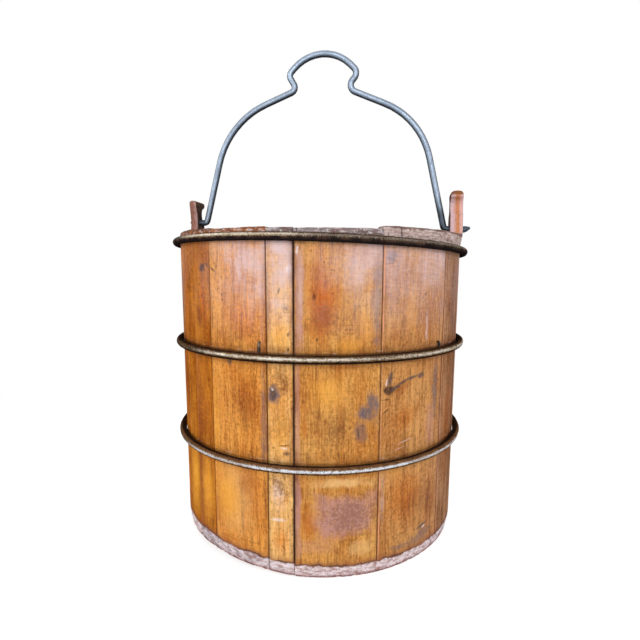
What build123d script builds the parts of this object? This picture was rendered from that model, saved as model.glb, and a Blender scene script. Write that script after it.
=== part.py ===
from build123d import *
import math
import os

# Wooden piggin: a staved bucket with two raised ears, three iron rod hoops and a swinging iron bail.
# Millimetres, Z up, origin at the centre of the foot ring, ears on the X axis.
# Bearings go round from the front, which faces -Y, towards +X.

# Staved body
body_height = 304.0
rim_radius = 150.0
body_taper = 3.34
wall = 12.0
rim_unevenness = 2.0
rim_rounding = 1.8
foot_unevenness = 6.0
foot_bevel_height = 9.0
foot_bevel_depth = 1.6

# Staves in order round the bucket, with their widths in degrees
first_joint_bearing = -106.0
stave_names = (
    ["ear_stave_left"]
    + [f"stave_front_{number}" for number in range(1, 8)]
    + ["ear_stave_right"]
    + [f"stave_back_{number}" for number in range(1, 7)]
)
stave_degrees = [32.0, 31.7, 11.2, 23.6, 9.1, 28.7, 30.2, 13.5, 32.0, 27.0, 19.0, 31.0, 24.0, 29.0, 18.0]
rim_lift_shares = [0.6, 0.6, 0.2, -0.3, -0.75, -1.0, 0.25, 0.3, 0.0, 0.2, -0.2, 0.3, -0.1, 0.25, -0.3]
foot_lift_shares = [0.0, 0.75, 1.0, 0.85, 0.35, 0.0, 0.0, 0.0, 0.1, 0.2, 0.0, 0.15, 0.0, 0.1, 0.0]

# Ears, which are the two longer staves carried up above the rim; the relief thins an ear on the inside,
# and the swell thickens the right one on the outside; the corners are seen from the side, and the
# roundings run along the crown
ear_rise_left = 42.5
ear_rise_right = 47.0
ear_head_width = 28.0
ear_root_width = 30.0
ear_relief_left = 3.0
ear_relief_right = 0.3
ear_swell_right = 2.2
ear_corner_left = 1.5
ear_corner_right = 6.0
ear_rounding_left = 1.2
ear_rounding_right = 4.0

# Carved sides of an ear: height as a share of the rise, half width as a share of the head's
deep_scoop_shares = [(0.84, 1.0), (0.66, 0.4), (0.48, 0.8)]
shallow_scoop_shares = [(0.86, 1.0), (0.42, 0.68), (0.06, 0.9)]

# Base boards, let into a groove round the inside of the staves
base_clearance = 0.1
base_height = 18.0
base_thickness = 12.0
groove_depth = 5.0
groove_height = 6.4
base_board_shares = [0.22, 0.28, 0.27, 0.23]

# Bamboo dowels between the staves and between the base boards
dowel_diameter = 4.0
dowel_length = 15.0
dowel_clearance = 0.05
stave_dowel_height_shares = [0.24, 0.78]
base_dowel_offset_shares = [-0.5, 0.5]

# Iron rod hoops, driven on from the foot: place up the body, and slopes down to the right and the back
hoop_rod_diameter = 7.2
hoop_clearance = 0.05
hoop_names = ["hoop_bottom", "hoop_middle", "hoop_top"]
hoop_height_shares = [0.3312, 0.6415, 0.9553]
hoop_slope_shares = [(0.0, 0.0), (0.0, 0.0), (0.026, 0.028)]

# Bent nails above the middle hoop: bearing and height of the bend above the hoop's rod
nail_diameter = 2.4
nail_depth = 8.0
nail_bend_radius = 1.5
nail_clearance = 0.1
nail_bearings = [-9.9, 56.7]
nail_rises = [9.0, 4.6]

# Bail: an iron rod with a grip loop at the top, whose ends turn out through the ears; the left end is
# cut short, and the right end runs on into a raised tip
bail_rod_diameter = 6.8
pivot_rise_left = 18.5
pivot_rise_right = 8.0
pivot_clearance = 0.1
bail_rise = 180.6
leg_clearance_left = 4.2
leg_clearance_right = 1.6
eye_bend_radius = 3.8
end_reach = 2.4
end_length = 1.0
end_diameter = 5.0
tip_standoff = 0.2
tip_bend_radius = 5.0
tip_turn = 14.0
tip_length = 5.0
tip_diameter = 2.4

# Corners of the bail from left to right: place along the half span, rise above the pivots, and
# how much of the shorter run beside the corner its bend takes up
bail_corner_shares = [
    (-0.79, 0.643, 0.547),
    (-0.197, 0.809, 0.355),
    (-0.268, 0.896, 0.242),
    (0.0, 1.109, 0.848),
    (0.305, 0.886, 0.34),
    (0.204, 0.803, 0.52),
    (0.806, 0.608, 0.607),
    (0.918, 0.236, 0.02),
]

overrun = 10.0


def outer_radius(z):
    """Radius of the outside of the staves at height z."""
    return rim_radius - body_taper * (1 - z / body_height)


def inner_radius(z):
    """Radius of the inside of the staves at height z."""
    return outer_radius(z) - wall


def heading(bearing):
    """Level direction that points outwards at a bearing from the front."""
    angle = math.radians(bearing)
    return Vector(math.sin(angle), -math.cos(angle), 0)


def around(bearing, radius, z):
    """Point at a bearing from the front, a radius and a height."""
    return heading(bearing) * radius + Vector(0, 0, z)


def sector(profile, start, width):
    """Revolve a profile drawn on the XZ plane from one bearing over a width in degrees."""
    return Rot(0, 0, start - 90) * revolve(profile, axis=Axis.Z, revolution_arc=width)


def groove_span():
    """Bottom and top of the groove that holds the base boards."""
    middle = base_height + base_thickness / 2
    return middle - groove_height / 2, middle + groove_height / 2


def stave_profile(foot, top):
    """Section of a stave: bevelled foot, tapered wall, rounded rim and the groove for the base."""
    groove_bottom, groove_top = groove_span()
    bevel_top = foot + foot_bevel_height
    outline = Polyline(
        (outer_radius(foot) - foot_bevel_depth, 0, foot),
        (outer_radius(bevel_top), 0, bevel_top),
        (outer_radius(top), 0, top),
        (inner_radius(top), 0, top),
        (inner_radius(groove_top), 0, groove_top),
        (inner_radius(groove_top) + groove_depth, 0, groove_top),
        (inner_radius(groove_top) + groove_depth, 0, groove_bottom),
        (inner_radius(groove_bottom), 0, groove_bottom),
        (inner_radius(foot), 0, foot),
        close=True,
    )
    face = make_face(outline)
    return fillet(face.vertices().sort_by(Axis.Z)[-2:], radius=rim_rounding)


def dowel(centre, direction, diameter, length):
    """A round pin centred on a joint and square to it."""
    return Plane(origin=centre, z_dir=direction) * Cylinder(diameter / 2, length)


def stave_dowels_at(bearing, gap=0.0):
    """The dowels across the joint at a bearing, or with a gap their holes."""
    pins = []
    for share in stave_dowel_height_shares:
        z = share * body_height
        centre = around(bearing, outer_radius(z) - wall / 2, z)
        pins.append(dowel(centre, heading(bearing + 90), dowel_diameter + 2 * gap, dowel_length + 2 * gap))
    return pins


def ear_rise(side):
    """Height of an ear above the rim; side is -1 for the left ear and 1 for the right one."""
    return ear_rise_left if side < 0 else ear_rise_right


def ear_outline(side):
    """Face of an ear on the YZ plane: a flared head on a scooped neck, down into the stave."""
    rise = ear_rise(side)
    corner = ear_corner_left if side < 0 else ear_corner_right
    front_scoop = shallow_scoop_shares if side < 0 else deep_scoop_shares
    half_head = ear_head_width / 2
    half_root = ear_root_width / 2
    root = body_height - wall
    crown = body_height + rise

    def scoop_points(shares, way):
        return [(way * half * half_head, body_height + level * rise) for level, half in shares]

    front_beak, front_neck, front_hip = scoop_points(front_scoop, -1)
    back_beak, back_neck, back_hip = scoop_points(deep_scoop_shares, 1)
    edges = [
        Line((-half_head, crown), (half_head, crown)),
        Line((half_head, crown), back_beak),
        ThreePointArc(back_beak, back_neck, back_hip),
        Line(back_hip, (half_root, body_height)),
        Line((half_root, body_height), (half_root, root)),
        Line((half_root, root), (-half_root, root)),
        Line((-half_root, root), (-half_root, body_height)),
        Line((-half_root, body_height), front_hip),
        ThreePointArc(front_hip, front_neck, front_beak),
        Line(front_beak, (-half_head, crown)),
    ]
    face = make_face(edges)
    return fillet(face.vertices().sort_by(Axis.Y)[-2:], radius=corner)


def ear_face(side):
    """Distance from the middle to the flat inner face of an ear."""
    return inner_radius(body_height) + (ear_relief_left if side < 0 else ear_relief_right)


def ear_back(side):
    """Radius of the outside of an ear at the height of the rim."""
    return outer_radius(body_height) + (0 if side < 0 else ear_swell_right)


def pivot_point(x):
    """Point of the bail's axis at a distance x from the middle; the left hole is the higher one."""
    slope = (pivot_rise_right - pivot_rise_left) / (ear_face(-1) + ear_face(1))
    return Vector(x, 0, body_height + pivot_rise_left + slope * (x + ear_face(-1)))


def pivot_line():
    """Direction of the bail's axis, from the left ear to the right one."""
    return (pivot_point(ear_face(1)) - pivot_point(-ear_face(-1))).normalized()


def ear_blank(side):
    """The part of an ear stave above the rim, with a flat face towards the bail and a rounded crown."""
    top = body_height + ear_rise(side)
    root = body_height - wall
    shell = Polyline(
        (inner_radius(root), 0, root),
        (outer_radius(root), 0, root),
        (ear_back(side), 0, body_height),
        (ear_back(side), 0, top),
        (inner_radius(root), 0, top),
        close=True,
    )
    spread = 2 * math.degrees(math.asin(ear_root_width / inner_radius(root)))
    shell = sector(make_face(shell), side * 90 - spread / 2, spread)
    slab = extrude(Plane.YZ * ear_outline(side), amount=side * (ear_back(side) + overrun))
    gap = Pos(0, 0, top) * Box(2 * ear_face(side), 2 * rim_radius, 2 * (top - root) + overrun)
    ear = (shell & slab) - gap
    crown_edges = ear.faces().sort_by(Axis.Z)[-1].edges().sort_by(Axis.X)
    return fillet([crown_edges[0], crown_edges[-1]], ear_rounding_left if side < 0 else ear_rounding_right)


def make_stave(index, start):
    """One stave with its dowel holes and nail holes, and with its ear if it carries one."""
    width = stave_degrees[index]
    foot = foot_lift_shares[index] * foot_unevenness
    top = body_height + rim_lift_shares[index] * rim_unevenness
    stave = sector(stave_profile(foot, top), start, width)
    side = {"ear_stave_left": -1, "ear_stave_right": 1}.get(stave_names[index], 0)
    if side:
        stave += ear_blank(side)
        hole = Cylinder(bail_rod_diameter / 2 + pivot_clearance, 2 * rim_radius)
        stave -= Plane(origin=pivot_point(side * ear_face(side)), z_dir=pivot_line()) * hole
    for joint in (start, start + width):
        for hole in stave_dowels_at(joint, dowel_clearance):
            stave -= hole
    for bearing, rise in zip(nail_bearings, nail_rises):
        if start < bearing < start + width:
            stave -= nail_hole(bearing, rise)
    return stave


def base_disc():
    """The round of the base before it is divided, with a thin edge that fits the groove."""
    groove_bottom, groove_top = groove_span()
    edge_bottom = groove_bottom + base_clearance
    edge_top = groove_top - base_clearance
    top = base_height + base_thickness
    shoulder = inner_radius(base_height) - base_clearance
    reach = inner_radius(groove_top) + groove_depth - base_clearance
    outline = Polyline(
        (0, 0, base_height),
        (shoulder, 0, base_height),
        (shoulder, 0, edge_bottom),
        (reach, 0, edge_bottom),
        (reach, 0, edge_top),
        (shoulder, 0, edge_top),
        (shoulder, 0, top),
        (0, 0, top),
        close=True,
    )
    return revolve(make_face(outline), axis=Axis.Z)


def base_seams():
    """Places along X of the edges of the base boards, outer ends included."""
    reach = inner_radius(base_height) + groove_depth
    seams = [-reach]
    for share in base_board_shares:
        seams.append(seams[-1] + share * 2 * reach)
    return seams


def base_dowels_at(seam, gap=0.0):
    """The dowels across a seam of the base, or with a gap their holes."""
    half_chord = math.sqrt(inner_radius(base_height) ** 2 - seam ** 2)
    z = base_height + base_thickness / 2
    pins = []
    for share in base_dowel_offset_shares:
        centre = Vector(seam, share * half_chord, z)
        pins.append(dowel(centre, Vector(1, 0, 0), dowel_diameter + 2 * gap, dowel_length + 2 * gap))
    return pins


def make_base_boards():
    """Base boards side by side, each with the dowel holes of its inner seams."""
    disc = base_disc()
    seams = base_seams()
    boards = []
    for left, right in zip(seams, seams[1:]):
        middle = (left + right) / 2
        board = disc & Pos(middle, 0, base_height) * Box(right - left, 4 * rim_radius, 4 * base_thickness)
        for seam in (left, right):
            if seam in seams[1:-1]:
                for hole in base_dowels_at(seam, dowel_clearance):
                    board -= hole
        boards.append(board)
    return boards


def hoop_height(name):
    """Height of the middle of a hoop."""
    return hoop_height_shares[hoop_names.index(name)] * body_height


def make_hoop(name):
    """A welded ring of round rod, snug on the tapered wall where it sits."""
    fall_right, fall_back = hoop_slope_shares[hoop_names.index(name)]
    height = hoop_height(name)
    tilt = math.atan(math.hypot(fall_right, fall_back))
    taper = math.atan(body_taper / body_height)
    seat = outer_radius(height + rim_radius * math.sin(tilt))
    ring_radius = (seat + (hoop_rod_diameter / 2 + hoop_clearance) / math.cos(taper)) / math.cos(tilt)
    place = Plane(origin=(0, 0, height), z_dir=(fall_right, fall_back, 1))
    return place * Torus(ring_radius, hoop_rod_diameter / 2)


def nail_level(rise):
    """Height at a rise above the rod of the middle hoop."""
    return hoop_height("hoop_middle") + hoop_rod_diameter / 2 + rise


def nail_hole(bearing, rise):
    """Hole in the wall for the shank of a nail."""
    shank = nail_level(rise)
    outside = outer_radius(shank) + overrun
    bottom = outer_radius(shank) - nail_depth - nail_clearance
    hole = Cylinder(nail_diameter / 2 + nail_clearance, outside - bottom)
    place = Plane(origin=around(bearing, (outside + bottom) / 2, shank), z_dir=heading(bearing))
    return place * hole


def make_nail(bearing, rise):
    """A round nail driven into the wall and bent down until its end stops on the middle hoop."""
    shank = nail_level(rise)
    stand = outer_radius(shank) + nail_bend_radius + nail_clearance
    path = FilletPolyline(
        around(bearing, outer_radius(shank) - nail_depth, shank),
        around(bearing, stand, shank),
        around(bearing, stand, nail_level(nail_clearance)),
        radius=nail_bend_radius,
    )
    start = Plane(origin=path @ 0, z_dir=path % 0)
    return sweep(start * Circle(nail_diameter / 2), path=path)


def left_pin():
    """Corners of the left end of the bail: the short end outside the ear, and the eye inside it."""
    end = pivot_point(-(ear_back(-1) + end_reach))
    eye = pivot_point(-(ear_face(-1) - leg_clearance_left - bail_rod_diameter / 2))
    return [end, eye]


def right_pin():
    """Corners of the right end of the bail: the eye, the knee outside the ear, and the raised tip."""
    turn = math.radians(tip_turn)
    tangent = tip_bend_radius * math.tan(turn / 2)
    eye = pivot_point(ear_face(1) - leg_clearance_right - bail_rod_diameter / 2)
    knee = pivot_point(ear_back(1) + tip_standoff + tangent)
    tip_start = knee + Vector(math.cos(turn), 0, math.sin(turn)) * (tangent + bail_rod_diameter / 4)
    return [eye, knee, tip_start]


def bend_radius(before, corner, after, share):
    """Radius of a bend whose ends lie a share of the shorter run away from its corner."""
    inward = before - corner
    outward = after - corner
    half_turn = math.radians(180 - inward.get_angle(outward)) / 2
    return share * min(inward.length, outward.length) / math.tan(half_turn)


def tapered_end(diameter, length):
    """Taper from the bail's rod down to a smaller diameter."""
    return Pos(0, 0, length / 2) * Cone(bail_rod_diameter / 2, diameter / 2, length)


def make_bail():
    """Bent rod from end to end: pin, leg, shoulder, neck, grip loop, and back down to the other pin."""
    pivot = pivot_point(0)
    half_span = right_pin()[0].X
    crown = []
    for along, up, bend_share in bail_corner_shares:
        crown.append(pivot + Vector(along * half_span, 0, up * bail_rise))
    points = left_pin() + crown + right_pin()
    radii = [eye_bend_radius]
    for place, (along, up, bend_share) in enumerate(bail_corner_shares, start=len(left_pin())):
        radii.append(bend_radius(points[place - 1], points[place], points[place + 1], bend_share))
    radii += [eye_bend_radius, tip_bend_radius]
    path = FilletPolyline(*points, radius=radii)
    start = Plane(origin=path @ 0, z_dir=path % 0)
    bail = sweep(start * Circle(bail_rod_diameter / 2), path=path)
    bail += Plane(origin=path @ 0, z_dir=-(path % 0)) * tapered_end(end_diameter, end_length)
    bail += Plane(origin=path @ 1, z_dir=path % 1) * tapered_end(tip_diameter, tip_length)
    return bail


def build_parts():
    """All pieces by name; a group of like pins or nails shares one name."""
    parts = {}
    joint_pins = []
    start = first_joint_bearing
    for index, name in enumerate(stave_names):
        parts[name] = make_stave(index, start)
        joint_pins += stave_dowels_at(start)
        start += stave_degrees[index]
    parts["stave_dowels"] = Compound(joint_pins)
    for number, board in enumerate(make_base_boards(), start=1):
        parts[f"base_board_{number}"] = board
    board_pins = []
    for seam in base_seams()[1:-1]:
        board_pins += base_dowels_at(seam)
    parts["base_dowels"] = Compound(board_pins)
    for name in hoop_names:
        parts[name] = make_hoop(name)
    parts["hoop_nails"] = Compound([make_nail(*place) for place in zip(nail_bearings, nail_rises)])
    parts["bail"] = make_bail()
    return parts


os.makedirs("parts", exist_ok=True)
for part_name, solid in build_parts().items():
    solid.label = part_name
    export_step(solid, f"parts/{part_name}.step")
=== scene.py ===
import math

import bpy
import bmesh
import numpy as np
from mathutils import Matrix, Vector


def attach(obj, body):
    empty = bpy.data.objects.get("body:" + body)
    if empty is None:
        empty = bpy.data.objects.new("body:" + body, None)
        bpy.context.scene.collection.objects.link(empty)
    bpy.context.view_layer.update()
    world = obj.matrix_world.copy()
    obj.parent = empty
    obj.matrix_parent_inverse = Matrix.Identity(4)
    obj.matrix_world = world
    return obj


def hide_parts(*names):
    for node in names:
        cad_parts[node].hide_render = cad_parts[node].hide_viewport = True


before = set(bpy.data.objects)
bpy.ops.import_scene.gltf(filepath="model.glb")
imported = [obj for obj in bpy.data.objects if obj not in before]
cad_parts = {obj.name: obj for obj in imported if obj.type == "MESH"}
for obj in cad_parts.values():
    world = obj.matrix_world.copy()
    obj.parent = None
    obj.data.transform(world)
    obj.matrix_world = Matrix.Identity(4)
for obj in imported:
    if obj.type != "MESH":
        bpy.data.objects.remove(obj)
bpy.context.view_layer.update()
print("frame loaded")

# Lengths are in metres, in the frame of the CAD model. Bearings are in degrees, from the front to +X.
tub = {
    "height": 0.304,
    "rimRadius": 0.150,
    "taper": 0.00334,
    "wall": 0.012,
    "bevelHeight": 0.009,
    "bevelDepth": 0.0016,
    "grooveBottom": 0.0200,
    "grooveTop": 0.0280,
    "grooveDepth": 0.005,
    "grooveSlope": 0.0020,
    "firstBearing": -106.0,
}

# The slope is the fall per metre to the right and to the back. Under and over are the amounts of dirt
# and painted shade on the wood below and above the hoop.
hoopRod = 0.0036
hoops = {
    "hoop_bottom": {"height": 0.10069, "slope": (0.0, 0.0), "under": 0.4, "over": 0.45},
    "hoop_middle": {"height": 0.19501, "slope": (0.0, 0.0), "under": 0.45, "over": 0.7},
    "hoop_top": {"height": 0.29041, "slope": (0.026, 0.028), "under": 0.0, "over": 1.0},
}


def outerRadius(z):
    return tub["rimRadius"] - tub["taper"] * (1 - z / tub["height"])


def atBearing(degrees, distance, height=0.0):
    turn = math.radians(degrees)
    return Vector((math.sin(turn) * distance, -math.cos(turn) * distance, height))


# Node helpers, for materials and for geometry alike

def paint(*seen):
    shares = [channel / 255 for channel in seen]
    return (*(c / 12.92 if c <= 0.04045 else ((c + 0.055) / 1.055) ** 2.4 for c in shares), 1.0)


def addNode(tree, kind, sockets=None, **settings):
    node = tree.nodes.new(kind)
    for name, value in settings.items():
        setattr(node, name, value)
    for key, value in (sockets or {}).items():
        if isinstance(value, bpy.types.NodeSocket):
            tree.links.new(value, node.inputs[key])
        else:
            node.inputs[key].default_value = value
    return node


def calc(tree, operation, first, second=0.0, third=0.0, clamp=False):
    values = {0: first, 1: second, 2: third}
    return addNode(tree, "ShaderNodeMath", values, operation=operation, use_clamp=clamp).outputs[0]


def plus(tree, first, second):
    return calc(tree, "ADD", first, second)


def minus(tree, first, second):
    return calc(tree, "SUBTRACT", first, second)


def times(tree, first, *others):
    for other in others:
        first = calc(tree, "MULTIPLY", first, other)
    return first


# A noise, which runs from 0 to 1, swings a value to both sides
def jitter(tree, noise, amount, value):
    return calc(tree, "MULTIPLY_ADD", minus(tree, noise, 0.5), amount, value)


def spread(tree, value, low, high, start=0.0, end=1.0, smooth=True):
    sockets = {0: value, 1: low, 2: high, 3: start, 4: end}
    steps = "SMOOTHSTEP" if smooth else "LINEAR"
    return addNode(tree, "ShaderNodeMapRange", sockets, interpolation_type=steps).outputs[0]


def vectorCalc(tree, operation, first, second=(0.0, 0.0, 0.0)):
    return addNode(tree, "ShaderNodeVectorMath", {0: first, 1: second}, operation=operation).outputs


def stretch(tree, place, across=1.0, inward=1.0, up=1.0):
    return vectorCalc(tree, "MULTIPLY", place, (across, inward, up))[0]


def combine(tree, x=0.0, y=0.0, z=0.0):
    return addNode(tree, "ShaderNodeCombineXYZ", {0: x, 1: y, 2: z}).outputs[0]


def split(tree, vector):
    return addNode(tree, "ShaderNodeSeparateXYZ", {0: vector}).outputs


def blend(tree, amount, under, over, how="MIX"):
    sockets = {0: amount, 6: under, 7: over}
    return addNode(tree, "ShaderNodeMix", sockets, data_type="RGBA", blend_type=how).outputs[2]


def speckle(tree, place, scale, detail=2.0, rough=0.5, seed=0.0):
    sockets = {"Vector": place, "W": seed, "Scale": scale, "Detail": detail, "Roughness": rough}
    return addNode(tree, "ShaderNodeTexNoise", sockets, noise_dimensions="4D").outputs[0]


def objectPlace(tree):
    return addNode(tree, "ShaderNodeTexCoord").outputs["Object"]


def boardPlace(tree):
    return addNode(tree, "ShaderNodeAttribute", attribute_name="board").outputs["Vector"]


# Sockets are given as their kind with a list of their names
def newGroup(name, kind, takes, gives):
    tree = bpy.data.node_groups.new(name, kind)
    for way, sockets in (("INPUT", takes), ("OUTPUT", gives)):
        for socketKind, labels in sockets.items():
            for label in labels:
                tree.interface.new_socket(label, in_out=way, socket_type="NodeSocket" + socketKind)
    return tree, tree.nodes.new("NodeGroupInput").outputs, tree.nodes.new("NodeGroupOutput").inputs


def fillGroup(tree, group, sockets):
    return addNode(tree, "ShaderNodeGroup", sockets, node_tree=group).outputs


def newMaterial(name):
    material = bpy.data.materials.new(name)
    material.use_nodes = True
    return material, material.node_tree, material.node_tree.nodes["Principled BSDF"]


def dressShader(tree, shader, colour, gloss, height, relief=0.6, depth=0.0005):
    tree.links.new(colour, shader.inputs["Base Color"])
    tree.links.new(gloss, shader.inputs["Roughness"])
    bump = addNode(tree, "ShaderNodeBump", {"Strength": relief, "Distance": depth, "Height": height})
    tree.links.new(bump.outputs[0], shader.inputs["Normal"])


def pushMesh(tree, mesh, direction, amount):
    sockets = {0: direction, "Scale": amount}
    offset = addNode(tree, "ShaderNodeVectorMath", sockets, operation="SCALE").outputs[0]
    return addNode(tree, "GeometryNodeSetPosition", {"Geometry": mesh, "Offset": offset}).outputs[0]


def dressMesh(tree, mesh, takes, gives):
    mesh = addNode(tree, "GeometryNodeSetShadeSmooth", {"Geometry": mesh}).outputs[0]
    mesh = addNode(tree, "GeometryNodeRealizeInstances", {"Geometry": mesh}).outputs[0]
    sockets = {"Geometry": mesh, "Material": takes["Material"]}
    tree.links.new(addNode(tree, "GeometryNodeSetMaterial", sockets).outputs[0], gives["Geometry"])


# Object helpers

def newPiece(name, mesh=None):
    piece = bpy.data.objects.new(name, mesh or bpy.data.meshes.new(name))
    bpy.context.scene.collection.objects.link(piece)
    return piece


def addTree(piece, tree, values):
    modifier = piece.modifiers.new(tree.name, "NODES")
    modifier.node_group = tree
    for item in tree.interface.items_tree:
        if item.item_type == "SOCKET" and item.in_out == "INPUT" and item.name in values:
            modifier[item.identifier] = values[item.name]


# The evaluated mesh takes the place of the modifiers, with its finish in a single slot
def freeze(piece):
    graph = bpy.context.evaluated_depsgraph_get()
    mesh = bpy.data.meshes.new_from_object(
        piece.evaluated_get(graph), preserve_all_data_layers=True, depsgraph=graph
    )
    piece.modifiers.clear()
    piece.data = mesh
    mesh.name = piece.name
    finish = [material for material in mesh.materials if material]
    mesh.materials.clear()
    mesh.materials.append(finish[0])
    mesh.polygons.foreach_set("material_index", np.zeros(len(mesh.polygons), dtype=np.int32))
    return piece


def fitPiece(piece, body, node):
    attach(piece, body)
    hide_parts(node)


def pointsOf(mesh):
    points = np.empty(len(mesh.vertices) * 3)
    mesh.vertices.foreach_get("co", points)
    return points.reshape(-1, 3)


def keepVector(mesh, name, values):
    layer = mesh.attributes.new(name, "FLOAT_VECTOR", "POINT")
    layer.data.foreach_set("vector", np.ascontiguousarray(values, dtype=np.float32).ravel())


# Place on a stave: along its width, in from its outer face, and up. The wood follows it.
def markBoard(mesh, centreBearing):
    points = pointsOf(mesh)
    bearing = np.degrees(np.arctan2(points[:, 0], -points[:, 1]))
    off = (bearing - centreBearing + 180.0) % 360.0 - 180.0
    depth = outerRadius(points[:, 2]) - np.hypot(points[:, 0], points[:, 1])
    across = np.radians(off) * tub["rimRadius"]
    keepVector(mesh, "board", np.stack([across, depth, points[:, 2]], axis=1))


# Camera, fitted to the photograph
view = {
    "distance": 0.5268,
    "bearing": 10.0,
    "height": 0.26695,
    "pitch": 0.1038,
    "roll": 0.004,
    "lens": 26.238,
    "sensor": 36.0,
    "nearest": 0.01,
}


def makeCamera():
    camera = bpy.data.objects.new("camera", bpy.data.cameras.new("camera"))
    bpy.context.scene.collection.objects.link(camera)
    camera.data.lens = view["lens"]
    camera.data.sensor_width = view["sensor"]
    camera.data.clip_start = view["nearest"]
    camera.location = atBearing(view["bearing"], view["distance"], view["height"])
    aim = (
        Matrix.Rotation(math.radians(view["bearing"]), 4, "Z")
        @ Matrix.Rotation(math.pi / 2 - view["pitch"], 4, "X")
        @ Matrix.Rotation(view["roll"], 4, "Z")
    )
    camera.rotation_euler = aim.to_euler()
    bpy.context.scene.camera = camera


makeCamera()
print("camera placed")

# Light and floor. Panels: bearing, distance, height, width and height of the panel, power.
studio = {
    "panels": {
        "frontPanel": (8.0, 2.0, 0.95, 1.7, 1.0, 26.0),
        "leftPanel": (-62.0, 1.9, 0.95, 0.9, 1.3, 13.0),
        "rightPanel": (80.0, 1.9, 0.95, 0.9, 1.3, 11.0),
        "topPanel": (190.0, 0.9, 2.3, 1.8, 1.8, 17.0),
    },
    "aimHeight": 0.2,
    "fill": 0.24,
    "floorColour": (0.82, 0.82, 0.82, 1.0),
    "floorGlow": 0.55,
    "floorFade": (0.28, 0.8),
    "floorHalf": 30.0,
    "white": (1.0, 1.0, 1.0, 1.0),
}


def makeLights():
    for name, (bearing, distance, height, wide, tall, power) in studio["panels"].items():
        data = bpy.data.lights.new(name, "AREA")
        data.shape = "RECTANGLE"
        data.size = wide
        data.size_y = tall
        data.energy = power
        lamp = bpy.data.objects.new(name, data)
        bpy.context.scene.collection.objects.link(lamp)
        lamp.location = atBearing(bearing, distance, height)
        aim = Vector((0, 0, studio["aimHeight"])) - lamp.location
        lamp.rotation_euler = aim.to_track_quat("-Z", "Y").to_euler()


def shownToEye(tree):
    rays = tree.nodes.new("ShaderNodeLightPath").outputs
    seen = calc(tree, "MAXIMUM", rays["Is Camera Ray"], rays["Is Glossy Ray"])
    return calc(tree, "MAXIMUM", seen, rays["Is Transmission Ray"])


def makeWorld():
    world = bpy.data.worlds.new("studio")
    world.use_nodes = True
    tree = world.node_tree
    tree.nodes.clear()
    strength = calc(tree, "MULTIPLY_ADD", shownToEye(tree), 1.0 - studio["fill"], studio["fill"])
    back = addNode(tree, "ShaderNodeBackground", {"Color": studio["white"], "Strength": strength})
    addNode(tree, "ShaderNodeOutputWorld", {"Surface": back.outputs[0]})
    bpy.context.scene.world = world


# The floor runs out into the white backdrop and keeps the shadow
def makeFloor():
    half = studio["floorHalf"]
    corners = [(-half, -half, 0), (half, -half, 0), (half, half, 0), (-half, half, 0)]
    mesh = bpy.data.meshes.new("floor")
    mesh.from_pydata(corners, [], [(0, 1, 2, 3)])
    material = bpy.data.materials.new("paleFloor")
    material.use_nodes = True
    tree = material.node_tree
    tree.nodes.clear()
    far = vectorCalc(tree, "LENGTH", objectPlace(tree))["Value"]
    fade = spread(tree, far, *studio["floorFade"])
    glowSockets = {"Color": studio["white"], "Strength": studio["floorGlow"]}
    whiteSockets = {"Color": studio["white"], "Strength": 1.0}
    matt = addNode(tree, "ShaderNodeBsdfDiffuse", {"Color": studio["floorColour"]}).outputs[0]
    glow = addNode(tree, "ShaderNodeEmission", glowSockets).outputs[0]
    white = addNode(tree, "ShaderNodeEmission", whiteSockets).outputs[0]
    lifted = addNode(tree, "ShaderNodeAddShader", {0: matt, 1: glow}).outputs[0]
    shown = addNode(tree, "ShaderNodeMixShader", {0: fade, 1: lifted, 2: white}).outputs[0]
    plain = addNode(tree, "ShaderNodeMixShader", {0: shownToEye(tree), 1: matt, 2: shown}).outputs[0]
    addNode(tree, "ShaderNodeOutputMaterial", {"Surface": plain})
    floor = newPiece("floor", mesh)
    floor.data.materials.append(material)


makeLights()
makeWorld()
makeFloor()
print("lights and floor ready")

# Wood tones, as the grain group takes them
tones = {
    "amber": {"Light": paint(208, 128, 36), "Deep": paint(158, 82, 12), "Dark": paint(92, 42, 10)},
    "honey": {"Light": paint(236, 164, 78), "Deep": paint(202, 122, 46), "Dark": paint(120, 60, 18)},
    "pale": {"Light": paint(244, 192, 120), "Deep": paint(222, 152, 74), "Dark": paint(136, 80, 34)},
    "tan": {"Light": paint(226, 166, 88), "Deep": paint(190, 118, 46), "Dark": paint(114, 62, 24)},
    "russet": {"Light": paint(204, 124, 48), "Deep": paint(156, 80, 20), "Dark": paint(92, 44, 14)},
    "sienna": {"Light": paint(214, 154, 90), "Deep": paint(180, 114, 56), "Dark": paint(98, 56, 26)},
    "brown": {"Light": paint(190, 142, 104), "Deep": paint(152, 104, 68), "Dark": paint(84, 50, 30)},
    "raw": {"Light": paint(178, 138, 100), "Deep": paint(140, 100, 66), "Dark": paint(88, 60, 40)},
}
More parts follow.
